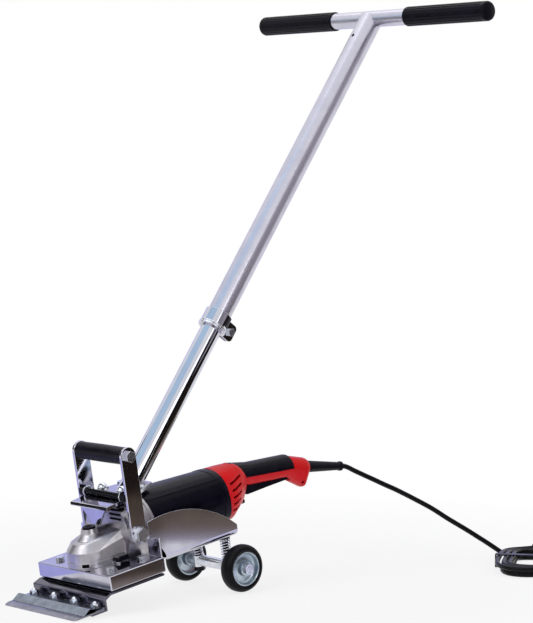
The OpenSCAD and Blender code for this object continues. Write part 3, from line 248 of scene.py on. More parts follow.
@dataclass(frozen=True)
class Finish:
    """A surface with a colour that drifts between two shades, a roughness that drifts, and a fine relief.

    Sizes are in millimetres. The relief can be drawn out along one axis, as brushing and rolling leave it.
    Grain that is too fine to show, such as blasting or spark erosion, is drawn as coarse as it needs to show.
    """

    name: str
    shade: str
    other_shade: str
    rough: float
    rough_drift: float
    patch: float
    grain: float
    relief: float
    metal: float = 0.0
    drawn: Triple = (1.0, 1.0, 1.0)
    ior: float = 1.5
    specular: float = 0.5
    edge_shade: str = ""
    edge_amount: float = 0.0
    slot: str = "chrome"
    least_rough: float = 0.02
    patch_detail: float = 4.0
    patch_rough: float = 0.55
    grain_detail: float = 3.0
    grain_rough: float = 0.6
    rough_range: Pair = (0.3, 0.7)
    shade_range: Pair = (0.35, 0.68)
    edge_range: Pair = (0.52, 0.60)

    def make(self) -> bpy.types.Material:
        """Makes the material, once for each name.

        Returns:
            The node material.
        """
        found = bpy.data.materials.get(self.name)
        if found:
            return found
        material = bpy.data.materials.new(self.name)
        tree = fresh_tree(material)
        coords = add_node(tree, "ShaderNodeTexCoord").outputs["Object"]
        drift = add_node(tree, "ShaderNodeTexNoise", {
            "Vector": coords, "Scale": per_mm(self.patch), "Detail": self.patch_detail,
            "Roughness": self.patch_rough}).outputs["Fac"]
        rough = add_node(tree, "ShaderNodeMapRange", {
            "Value": drift, "From Min": self.rough_range[0], "From Max": self.rough_range[1],
            "To Min": max(self.least_rough, self.rough - self.rough_drift),
            "To Max": self.rough + self.rough_drift})
        shader = add_node(tree, "ShaderNodeBsdfPrincipled", {
            "Base Color": self.colour(tree, drift), "Roughness": rough.outputs["Result"],
            "Metallic": self.metal, "Normal": self.bump(tree, coords)})
        if not self.metal:
            shader.inputs["IOR"].default_value = self.ior
            shader.inputs["Specular IOR Level"].default_value = self.specular
        add_node(tree, "ShaderNodeOutputMaterial", {"Surface": shader.outputs["BSDF"]})
        return material

    def colour(self, tree: Tree, drift: Socket) -> Socket:
        """Colour that drifts between the two shades, with rubbed edges where the finish has them.

        Args:
            tree: Tree of the material.
            drift: Slow noise that the shades follow.

        Returns:
            The socket of the colour.
        """
        ramp = add_node(tree, "ShaderNodeValToRGB", {"Fac": drift})
        shades = (self.shade, self.other_shade)
        for stop, at, shade in zip(ramp.color_ramp.elements, self.shade_range, shades):
            stop.position = at
            stop.color = linear(shade)
        if not self.edge_amount:
            return ramp.outputs["Color"]
        edges = add_node(tree, "ShaderNodeNewGeometry").outputs["Pointiness"]
        worn = add_node(tree, "ShaderNodeMapRange", {
            "Value": edges, "From Min": self.edge_range[0], "From Max": self.edge_range[1],
            "To Min": 0.0, "To Max": self.edge_amount})
        return add_node(tree, "ShaderNodeMix", {
            MIX_SHARE: worn.outputs["Result"], MIX_FIRST: ramp.outputs["Color"],
            MIX_SECOND: linear(self.edge_shade)}, data_type="RGBA").outputs[MIX_RESULT]

    def bump(self, tree: Tree, coords: Socket) -> Socket:
        """Fine relief of the surface.

        Args:
            tree: Tree of the material.
            coords: Object coordinates.

        Returns:
            The socket of the changed normal.
        """
        mapped = add_node(tree, "ShaderNodeMapping", {"Vector": coords, "Scale": self.drawn})
        grain = add_node(tree, "ShaderNodeTexNoise", {
            "Vector": mapped.outputs["Vector"], "Scale": per_mm(self.grain), "Detail": self.grain_detail,
            "Roughness": self.grain_rough})
        return add_node(tree, "ShaderNodeBump", {
            "Height": grain.outputs["Fac"], "Strength": self.relief,
            "Distance": self.grain * MM}).outputs["Normal"]


# Bright chromium plating on polished sheet: a clear mirror with smudges and faint rolling lines.
CHROME = Finish("chromium_plated_sheet", "#c9c8d4", "#bebdc9", rough=0.08, rough_drift=0.03, patch=26.0,
                grain=0.6, relief=0.012, metal=1.0, drawn=(1.0, 0.05, 1.0))
# Plated carriage sheet under the housing: the same mirror, dulled, and darker as painted shade from the
# housing above.
CHROME_PAINTED_SHADE = Finish("oiled_plated_sheet", "#6f6d7a", "#605e6a", rough=0.12, rough_drift=0.04, patch=18.0,
                      grain=0.6, relief=0.015, metal=1.0, drawn=(0.05, 1.0, 1.0))
# Polished chromium plating on drawn tube: cleaner than the sheet, with drawing lines along the tube.
TUBE_CHROME = Finish("chromium_plated_tube", "#cfd0d9", "#c6c7d1", rough=0.05, rough_drift=0.02, patch=30.0,
                     grain=0.6, relief=0.008, metal=1.0, drawn=(1.0, 0.04, 0.03))
# Satin clear-coated steel tube: soft wide highlights with a lilac cast.
SATIN_TUBE = Finish("satin_steel_tube", "#cbc9d5", "#c0becb", rough=0.30, rough_drift=0.04, patch=24.0,
                    grain=0.7, relief=0.012, metal=1.0, drawn=(1.0, 0.05, 0.04), slot="tube")
# Bright zinc plating: pale blue-grey, a little cloudy, with a fine crystalline grain.
ZINC = Finish("bright_zinc_plating", "#e2e4ea", "#ccd0d9", rough=0.22, rough_drift=0.06, patch=9.0,
              grain=0.9, relief=0.02, metal=1.0, slot="zinc")
# Zinc plated pressed steel of the rims: softer than the bolts, with a faint bloom.
PRESSED_ZINC = Finish("zinc_plated_pressing", "#bcc8d1", "#a9b5bf", rough=0.32, rough_drift=0.06, patch=10.0,
                      grain=0.9, relief=0.03, metal=1.0, slot="zinc")
# Zinc plating on the blade's clamp plate, darkened to a slate grey as a painted dark reflection.
ZINC_PAINTED_DARK_REFLECTION = Finish("dulled_zinc_plating", "#929aa8", "#7b8390", rough=0.22, rough_drift=0.05, patch=12.0,
                   grain=0.9, relief=0.02, metal=1.0, slot="zinc")
# Ground spring steel: grey, with grinding lines square to the edge.
GROUND = Finish("ground_spring_steel", "#97969f", "#7f7f8b", rough=0.26, rough_drift=0.05, patch=14.0,
                grain=1.1, relief=0.07, metal=1.0, drawn=(1.0, 0.06, 0.06), slot="steel")
# Bead-blasted die-cast aluminium: pale grey with an even fine tooth, brighter where edges are handled.
CAST = Finish("bead_blasted_aluminium", "#b3b0b6", "#a7a4a9", rough=0.34, rough_drift=0.05, patch=9.0,
              grain=0.7, relief=0.07, metal=1.0, edge_shade="#d9d8de", edge_amount=0.4, slot="cast")
# Glass-filled nylon: blue-black, moulded with a spark-eroded grain that scatters a soft shine.
BLACK = Finish("moulded_nylon", "#080613", "#0c0a1a", rough=0.30, rough_drift=0.06, patch=18.0,
               grain=0.8, relief=0.05, specular=0.10, edge_shade="#23212d", edge_amount=0.4, slot="black")
# Impact-grade ABS in red: a soft gloss, with the faint waviness of a moulded shell.
RED = Finish("moulded_abs_red", "#f00a13", "#e4080f", rough=0.30, rough_drift=0.05, patch=22.0,
             grain=1.4, relief=0.04, specular=0.11, edge_shade="#e0343a", edge_amount=0.4, slot="red")
# Soft thermoplastic rubber: near black, satin, with a fine tooth.
RUBBER = Finish("thermoplastic_rubber", "#0a0712", "#110d1b", rough=0.32, rough_drift=0.06, patch=12.0,
                grain=0.7, relief=0.07, specular=0.10, slot="rubber")
# Vinyl cable sheath: black with a soft gloss, lightly scuffed.
SHEATH = Finish("vinyl_sheath", "#08080b", "#100f14", rough=0.34, rough_drift=0.08, patch=16.0,
                grain=1.5, relief=0.05, specular=0.14, slot="rubber")
# Solid tyre rubber: black, dry, dusted a little grey.
TYRE = Finish("solid_tyre_rubber", "#08080b", "#100f14", rough=0.40, rough_drift=0.08, patch=7.0,
              grain=0.8, relief=0.12, specular=0.13, slot="tyre")
# Black oxide on turned steel: dark with a low metallic shine. The same finish is painted shade on the guide
# bolts inside the springs, and a painted dark reflection on the saddle's front edge.
OXIDE_AND_PAINTED_DARK = Finish("black_oxide_steel", "#1d1c22", "#141319", rough=0.24, rough_drift=0.06, patch=8.0,
               grain=0.9, relief=0.04, metal=0.9, slot="black")
# Machined cast iron of the hidden slide: dark grey, oily.
IRON = Finish("machined_cast_iron", "#4c4b50", "#3b3a40", rough=0.38, rough_drift=0.08, patch=10.0,
              grain=1.0, relief=0.08, metal=1.0, drawn=(1.0, 0.08, 1.0), slot="iron")
# Wound copper and laminations of the hidden motor.
COPPER = Finish("wound_copper", "#b87345", "#8f5632", rough=0.35, rough_drift=0.08, patch=5.0,
                grain=0.9, relief=0.20, metal=1.0, drawn=(1.0, 0.2, 1.0), slot="copper")
# Painted shade: flat black for sheets put deep in vents and notches, where only shade falls.
PAINTED_SHADE_BLACK = Finish("vent_black", "#060608", "#08080b", rough=0.85, rough_drift=0.05, patch=8.0,
              grain=1.0, relief=0.05, specular=0.1, slot="black")


# Building blocks

@dataclass(frozen=True)
class Rounding:
    """Rounding of hard edges: its width in millimetres, and the steps across it.

    Edges over the angle, in degrees, are rounded. Unless it is clamped, a narrow face doesn't limit the rest.
    """

    width: float
    steps: int = 2
    angle: float = 32.0
    clamp: bool = True


class Assembly:
    """What every sub-assembly uses to turn bmeshes into dressed pieces that ride on the frame."""

    def build(self) -> list[Piece]:
        """Builds the sub-assembly's pieces."""
        raise NotImplementedError

    def settle(self, name: str, bm: BMesh, finish: Finish, body: str, replaced: Sequence[str] = (),
               place: Place = Place.HEAD, smooth_angle: float = 38.0) -> Piece:
        """Turns a bmesh into a piece at the origin that rides on a body.

        Args:
            name: Name of the piece.
            bm: Its shape, which is freed.
            finish: Its finish.
            body: The frame's body that it rides on.
            replaced: Nodes of the frame that it stands for.
            place: The place that it was modelled in.
            smooth_angle: Edges over this angle, in degrees, stay sharp in the shading.

        Returns:
            The new object.
        """
        bm.transform(STANCE.matrix(place))
        piece = stand_mesh(name, bm, finish.make())
        piece.data.shade_smooth()
        piece.data.set_sharp_from_angle(angle=math.radians(smooth_angle))
        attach(piece, body)
        if replaced:
            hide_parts(*replaced)
        LOG.info("piece %s, %d faces, on %s", name, len(piece.data.polygons), body)
        return piece

    def soften(self, node: str, finish: Finish, rounding: Rounding,
               shape: Callable[[BMesh], None] | None = None) -> Piece:
        """Stands a copy of a node, with its hard edges rounded, in the node's place.

        Args:
            node: The frame's node.
            finish: Finish of the copy.
            rounding: How its edges are rounded.
            shape: What changes the copy's shape, in metres, before its edges are rounded.

        Returns:
            The new object.
        """
        source = frame["nodes"][node]
        bm = bmesh.new()
        bm.from_mesh(source.data)
        bmesh.ops.remove_doubles(bm, verts=bm.verts, dist=NODE_WELD * MM)
        bmesh.ops.dissolve_limit(bm, angle_limit=math.radians(NODE_FLAT), verts=bm.verts, edges=bm.edges)
        if shape:
            shape(bm)
        body = source["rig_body"]
        piece = self.settle(f"{node}_dressed", bm, finish, body, [node], Place.FRAME, rounding.angle)
        bevel = piece.modifiers.new("rounded_edges", "BEVEL")
        bevel.width = rounding.width * MM
        bevel.segments = rounding.steps
        bevel.limit_method = "ANGLE"
        bevel.angle_limit = math.radians(rounding.angle)
        bevel.use_clamp_overlap = rounding.clamp
        bevel.harden_normals = True
        return piece

    def coat(self, node: str, finish: Finish) -> None:
        """Gives a node of the frame its finish, with its shape as it is.

        Args:
            node: The frame's node.
            finish: Its finish.
        """
        slots = frame["nodes"][node].data.materials
        slots.clear()
        slots.append(finish.make())

    @staticmethod
    def lathe(profile: Sequence[Pair], steps: int) -> BMesh:
        """Spins a closed profile about X.

        Args:
            profile: Points as place along X and radius.
            steps: Steps of the full turn.

        Returns:
            A new bmesh.
        """
        bm = bmesh.new()
        verts = [bm.verts.new((x, r, 0)) for x, r in profile]
        edges = [bm.edges.new(pair) for pair in zip(verts, verts[1:] + verts[:1])]
        bmesh.ops.spin(bm, geom=verts + edges, cent=(0, 0, 0), axis=(1, 0, 0), angle=math.tau, steps=steps,
                       use_merge=True)
        bmesh.ops.remove_doubles(bm, verts=bm.verts, dist=WELD)
        bmesh.ops.recalc_face_normals(bm, faces=bm.faces)
        return bm

    @staticmethod
    def both_ends(half: Sequence[Pair], middle: Sequence[Pair] = ()) -> list[Pair]:
        """Half a profile on -X, then what lies in the middle, then the half mirrored to +X."""
        return [*half, *middle, *((-x, r) for x, r in reversed(half))]

    @staticmethod
    def box(bm: BMesh, size: Triple, middle: Triple) -> None:
        """Adds a box to a bmesh.

        Args:
            bm: The shape that grows.
            size: Width, depth and height of the box.
            middle: Where its middle lies.
        """
        made = bmesh.ops.create_cube(bm, size=1.0)["verts"]
        bmesh.ops.scale(bm, vec=size, verts=made)
        bmesh.ops.translate(bm, verts=made, vec=middle)

    @staticmethod
    def join(bm: BMesh, part: BMesh) -> None:
        """Adds a part to a bmesh and frees the part.

        Args:
            bm: The shape that grows.
            part: The shape that is added.
        """
        mesh = bpy.data.meshes.new("joined_part")
        part.to_mesh(mesh)
        part.free()
        bm.from_mesh(mesh)
        bpy.data.meshes.remove(mesh)

    @staticmethod
    def round_edges(bm: BMesh, rounding: Rounding) -> None:
        """Rounds the sharp edges of a bmesh.

        Args:
            bm: The shape, in millimetres.
            rounding: How its edges are rounded.
        """
        least = math.radians(rounding.angle)
        sharp = [e for e in bm.edges if e.is_manifold and e.calc_face_angle() > least]
        bmesh.ops.bevel(bm, geom=sharp, offset=rounding.width, offset_type="OFFSET", segments=rounding.steps,
                        profile=0.5, affect="EDGES", clamp_overlap=rounding.clamp, material=-1)


# Camera, light and floor

@dataclass(frozen=True)
class Card:
    """A glowing card that only mirrors see, coloured by distance from the origin, in metres.

    An upright card faces the object. One with a flat turn, in degrees, lies on the floor.
    """

    name: str
    colours: tuple[tuple[float, str], ...]
    place: Triple
    size: Pair
    flat_turn: float | None = None

    def matrix(self) -> Matrix:
        """Turn and place of the card.

        Returns:
            The matrix that turns an upright card to the object, or a flat one as it lies, and moves it.
        """
        move = Matrix.Translation(self.place)
        if self.flat_turn is not None:
            return move @ Matrix.Rotation(math.radians(self.flat_turn), 4, "Z")
        towards = Vector((-self.place[0], -self.place[1], 0))
        return move @ towards.to_track_quat("Z", "Y").to_matrix().to_4x4()

    def make(self) -> Piece:
        """Makes the card as a glowing sheet.

        Returns:
            The object.
        """
        bm = bmesh.new()
        bmesh.ops.create_grid(bm, x_segments=1, y_segments=1, size=0.5)
        bmesh.ops.scale(bm, vec=(*self.size, 1), verts=bm.verts)
        bmesh.ops.transform(bm, matrix=self.matrix(), verts=bm.verts)
        material = bpy.data.materials.new(self.name)
        tree = fresh_tree(material)
        ramp = add_node(tree, "ShaderNodeValToRGB", {"Fac": distance(tree)})
        stops = ramp.color_ramp.elements
        stops[0].position, stops[0].color = self.colours[0][0], linear(self.colours[0][1])
        stops[1].position, stops[1].color = 1.0, linear(self.colours[-1][1])
        for away, colour in self.colours[1:]:
            stops.new(away).color = linear(colour)
        glow = add_node(tree, "ShaderNodeEmission", {"Color": ramp.outputs["Color"], "Strength": 1.0})
        add_node(tree, "ShaderNodeOutputMaterial", {"Surface": glow.outputs[0]})
        card = stand_mesh(self.name, bm, material)
        card.visible_camera = card.visible_diffuse = card.visible_shadow = card.visible_transmission = False
        return card


@dataclass
class Studio:
    """Camera at the photograph's place, a white sweep, soft light and cards that polished metal mirrors."""

    camera_at: Triple = (2.341, -2.00192, 0.549)
    azimuth: float = 48.27
    elevation: float = 3.40
    lens: float = 134.53
    sensor: float = 36.0
    sight: float = 100.0
    fill_shade: str = "#f2f3f8"
    fill_strength: float = 0.42
    floor_size: float = 60.0
    floor_drop: float = 0.0004
    floor_shade: str = "#f4f4f6"
    fade_range: Pair = (0.35, 0.95)
    white_range: Pair = (0.80, 1.0)

    def build(self) -> None:
        """Makes the camera first, then the world, floor, lamps and cards."""
        self.camera()
        self.world()
        self.floor()
        self.lamps()
        self.cards()

    @staticmethod
    def aim(thing: Piece, place: Sequence[float], along: Vector) -> None:
        """Puts a camera or lamp in its place, looking along a direction.

        Args:
            thing: The camera or lamp.
            place: Where it stands.
            along: The direction.
        """
        thing.location = place
        thing.rotation_mode = "QUATERNION"
        thing.rotation_quaternion = along.to_track_quat("-Z", "Y")

    def camera(self) -> None:
        """Camera at the photograph's viewing angle."""
        data = bpy.data.cameras.new("camera")
        data.lens, data.sensor_width, data.clip_end = self.lens, self.sensor, self.sight
        turn, rise = math.radians(self.azimuth), math.radians(self.elevation)
        back = Vector((math.sin(turn) * math.cos(rise), -math.cos(turn) * math.cos(rise), math.sin(rise)))
        camera = stand("camera", data)
        self.aim(camera, self.camera_at, -back)
        bpy.context.scene.camera = camera
        bpy.context.scene.view_settings.view_transform = "Standard"

    @staticmethod
    def background_share(tree: Tree) -> Socket:
        """Socket that is 1 for rays that show the background.

        Args:
            tree: Tree of the world or of the floor's material.

        Returns:
            The socket, 1 for camera, glossy and transmission rays.
        """
        path = add_node(tree, "ShaderNodeLightPath").outputs
        pair = add_node(tree, "ShaderNodeMath", {
            0: path["Is Camera Ray"], 1: path["Is Glossy Ray"]}, operation="MAXIMUM")
        return add_node(tree, "ShaderNodeMath", {
            0: pair.outputs[0], 1: path["Is Transmission Ray"]}, operation="MAXIMUM").outputs[0]

    def world(self) -> None:
        """White to the camera and to mirrors, and a plain soft fill for the object."""
        world = bpy.data.worlds.new("white_sweep")
        bpy.context.scene.world = world
        tree = fresh_tree(world)
        fill = add_node(tree, "ShaderNodeBackground", {
            "Color": linear(self.fill_shade), "Strength": self.fill_strength})
        white = add_node(tree, "ShaderNodeBackground", {"Color": WHITE, "Strength": 1.0})
        mixed = add_node(tree, "ShaderNodeMixShader", {
            0: self.background_share(tree), 1: fill.outputs[0], 2: white.outputs[0]})
        add_node(tree, "ShaderNodeOutputWorld", {"Surface": mixed.outputs[0]})

    def floor(self) -> None:
        """Pale floor that keeps a soft contact shadow and is white farther off."""
        bm = bmesh.new()
        bmesh.ops.create_grid(bm, x_segments=1, y_segments=1, size=self.floor_size / 2)
        bmesh.ops.translate(bm, verts=bm.verts, vec=(0, 0, -self.floor_drop))
        material = bpy.data.materials.new("white_paper_floor")
        tree = fresh_tree(material)
        paper = add_node(tree, "ShaderNodeBsdfDiffuse", {"Color": linear(self.floor_shade)})
        white = add_node(tree, "ShaderNodeEmission", {"Color": WHITE, "Strength": 1.0})
        fade = add_node(tree, "ShaderNodeMapRange", {
            "Value": distance(tree), "From Min": self.fade_range[0], "From Max": self.fade_range[1],
            "To Min": self.white_range[0], "To Max": self.white_range[1]})
        share = add_node(tree, "ShaderNodeMath", {
            0: self.background_share(tree), 1: fade.outputs["Result"]}, operation="MULTIPLY")
        mixed = add_node(tree, "ShaderNodeMixShader", {
            0: share.outputs[0], 1: paper.outputs[0], 2: white.outputs[0]})
        add_node(tree, "ShaderNodeOutputMaterial", {"Surface": mixed.outputs[0]})
        stand_mesh("floor", bm, material)

    def lamps(self) -> None:
        """Large soft lamps: a key above the camera's left, a fill at its right and one overhead."""
        for name, place, target, size, power in (
            ("key", (0.0, -2.3, 2.3), (0.0, -0.1, 0.25), 1.8, 26.0),
            ("fill", (2.8, -0.8, 1.2), (0.0, 0.0, 0.25), 1.2, 12.0),
            ("top", (-0.6, 0.4, 3.0), (0.0, 0.0, 0.2), 2.4, 20.0),
        ):
            data = bpy.data.lights.new(name, "AREA")
            data.shape, data.size, data.energy = "SQUARE", size, power
            self.aim(stand(name, data), place, Vector(target) - Vector(place))

    def cards(self) -> None:
        """Cards that only mirrors see: what stood round the object, out of the picture."""
        for card in (
            Card("warm_card", ((0.0, "#241e1a"),), (0.74, 0.58, 0.1325), (0.62, 0.365)),
            Card("dark_card", ((0.0, "#100f13"),), (0.98, 0.14, 0.24), (0.40, 0.58)),
            Card("grey_back_card", ((0.0, "#a59fa8"),), (0.74, 0.58, 0.6875), (0.62, 0.745)),
            Card("grey_side_card", ((0.0, "#98929b"),), (0.98, 0.14, 0.795), (0.40, 0.53)),
            Card("sky_card", ((0.0, "#c9e4fb"),), (-0.10, -0.75, 1.42), (1.60, 1.16)),
            Card("lilac_card", ((0.0, "#d2d3ff"),), (-1.2, 0.85, 0.45), (1.9, 1.1)),
            Card("left_dark_card", ((0.0, "#0c0b0f"),), (-0.92, -0.72, 0.62), (0.40, 0.80)),
            Card("room_card", ((0.0, "#17161b"),), (1.75, -1.50, 0.30), (1.7, 0.80)),
            Card("brown_floor_card",
                 ((0.24, "#9a9088"), (0.29, "#4d433a"), (0.35, "#50453c"), (0.40, "#2c241f"),
                  (0.60, "#584d43"), (0.90, "#44392f")), (0.573, 0.172, 0.002), (0.98, 0.18), 39.8),
            Card("warm_floor_card",
                 ((0.40, "#e6e5fb"), (0.48, "#a39ca8"), (0.57, "#7c7166"), (0.95, "#5b4f43")),
                 (0.62, 0.60, 0.002), (0.86, 0.54), 39.8),
            Card("lilac_floor_card", ((0.0, "#c2c3ff"),), (-0.324, -0.504, 0.002), (0.60, 0.44), 57.3),
            Card("lilac_near_card", ((0.0, "#e4e4ff"),), (0.175, 0.135, 0.003), (0.20, 0.30), 39.8),
        ):
            card.make()


# Lead

@dataclass
class Lead(Assembly):
    """The mains lead from the boot to the hank on the floor, with its tie and plug.

    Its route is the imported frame's own, in millimetres.
    """

    diameter: float = 7.0
    round_steps: int = 4
    band_t: float = 1.2
    loose: float = 0.3
    loops: int = 5
    turn: float = 36.87
    half_l: float = 62.0
    half_w: float = 36.0
    step: float = 10.0
    waist: float = 20.0
    start: float = 70.0
    first_step: float = 15.0
    back: float = 900.0
    climb: float = 180.0
    rings: int = 48
    layer_share: float = 1.2
    tail: float = 28.0
    between_shares: Triple = (0.25, 0.5, 0.75)
    tie_round: Rounding = Rounding(0.3)
    plug_round: Rounding = Rounding(1.4, 3)
    route: tuple[Triple, ...] = (
        (0, 225, 141.2), (0.5, 231, 140.5), (2, 238, 138), (4, 245.5, 134), (7, 254.5, 129.5),
        (10.5, 264.5, 124.5), (14.5, 274.5, 119.5), (18.5, 284, 114.5), (22.5, 294, 109.5), (27, 304, 104.5),
        (31.5, 314, 99), (36.5, 323.5, 93.5), (41.5, 333.5, 87.5), (46.5, 343.5, 81.5), (52, 353.5, 75),
        (57.5, 363, 68), (63, 373, 60.5), (68.5, 383, 53.5), (74.5, 393, 46.5), (80.5, 402.5, 39.5),
        (86.5, 412.5, 32), (92.5, 422.5, 24.5), (98.5, 432, 17), (103, 438.5, 11.5), (106.5, 444, 7.5),
        (109.5, 449.5, 5), (112, 455, 3.9), (114, 460, 3.7),
    )

    def build(self) -> list[Piece]:
        """Makes the cord as one curve, with its tie and plug.

        Returns:
            The pieces.
        """
        points = self.path()
        data = bpy.data.curves.new("lead", "CURVE")
        data.dimensions = "3D"
        data.bevel_depth, data.bevel_resolution = self.diameter / 2 * MM, self.round_steps
        data.use_fill_caps = True
        spline = data.splines.new("POLY")
        spline.points.add(len(points) - 1)
        for target, point in zip(spline.points, points):
            target.co = (*(point * MM), 1.0)
        spline.use_smooth = True
        data.materials.append(SHEATH.make())
        cord = stand("lead", data)
        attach(cord, "frame")
        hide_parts("cord_run", "cord_hank")
        tie = self.soften("cord_tie", BLACK, self.tie_round)
        plug = self.soften("plug", RUBBER, self.plug_round)
        return [cord, tie, plug]

    def local(self, angle: float) -> Vector:
        """Point of the hank in its own frame.

        Args:
            angle: Way along the loops, in degrees.

        Returns:
            The point in millimetres.
        """
        out = abs(angle - self.back) / 360 * self.step
        rise = min(1.0, max(0.0, (angle - self.back) / self.climb + 0.5))
        c, s = math.cos(math.radians(angle)), math.sin(math.radians(angle))
        return Vector((
            -(self.half_w + out) * c + self.waist * c ** 3, (self.half_l + out) * s,
            self.diameter / 2 + (self.band_t + self.loose) * c * c + self.diameter * self.layer_share * rise))

    def turned(self, angle: float) -> Vector:
        """Point of the hank turned to its place on the floor, before it is moved there."""
        return Matrix.Rotation(math.radians(self.turn), 3, "Z") @ self.local(angle)

    def path(self) -> list[Vector]:
        """Points along the whole lead, in millimetres, from the boot to the plug.

        Returns:
            The points.
        """
        run = [Vector(p) for p in self.route]
        first, second = self.turned(self.start), self.turned(self.start + self.first_step)
        move = run[-1] - first + self.diameter * (second - first).normalized()
        move.z = 0
        count = self.rings * self.loops
        loops = [move + self.turned(self.start + 360 * i / self.rings) for i in range(count + 1)]
        out = loops[-1] - loops[-2]
        out.z = 0
        out.normalize()
        line = run + loops + [loops[-1] + self.diameter * out, loops[-1] + self.tail * out]
        return self.smoothed(line, len(run))

    def smoothed(self, points: list[Vector], coarse: int) -> list[Vector]:
        """Adds points between the first ones so that the free stretch bends smoothly.

        Args:
            points: All points.
            coarse: How many of the first points lie far apart.

        Returns:
            The points with more in each wide gap.
        """
        made = [points[0]]
        for i in range(len(points) - 1):
            a, b = points[i], points[i + 1]
            if i < coarse:
                before, after = points[max(i - 1, 0)], points[min(i + 2, len(points) - 1)]
                for k in self.between_shares:
                    made.append(0.5 * (2 * a + (b - before) * k + (2 * before - 5 * a + 4 * b - after) * k * k
                                       + (3 * a - before - 3 * b + after) * k ** 3))
            made.append(b)
        return made


# Slide head

@dataclass
class SlideHead(Assembly):
    """Slide housing with its rails, and the carriage with the blade clamped to it."""

    sheet_round: Rounding = Rounding(1.5, 4, clamp=False)
    plate_round: Rounding = Rounding(0.9, 3, 20.0, clamp=False)
    blade_round: Rounding = Rounding(0.25)
    bolt_round: Rounding = Rounding(0.5)
    rail_round: Rounding = Rounding(0.4)

    def build(self) -> list[Piece]:
        """Dresses the housing, carriage, blade and their fasteners.

        Returns:
            The pieces.
        """
        return [
            self.soften("slide_housing", CHROME, self.sheet_round),
            # The carriage plate's darker finish is painted shade under the housing.
            self.soften("carriage_plate", CHROME_PAINTED_SHADE, self.plate_round),
            self.soften("blade", GROUND, self.blade_round),
            # The clamp plate's slate grey is a painted dark reflection.
            self.soften("clamp_plate", ZINC_PAINTED_DARK_REFLECTION, self.plate_round),
            self.soften("blade_studs", ZINC, self.bolt_round),
            self.soften("housing_bolts", ZINC, self.bolt_round),
            self.soften("guide_rails", IRON, self.rail_round),
            self.soften("slide_block", IRON, self.rail_round),
        ]


# Grinder

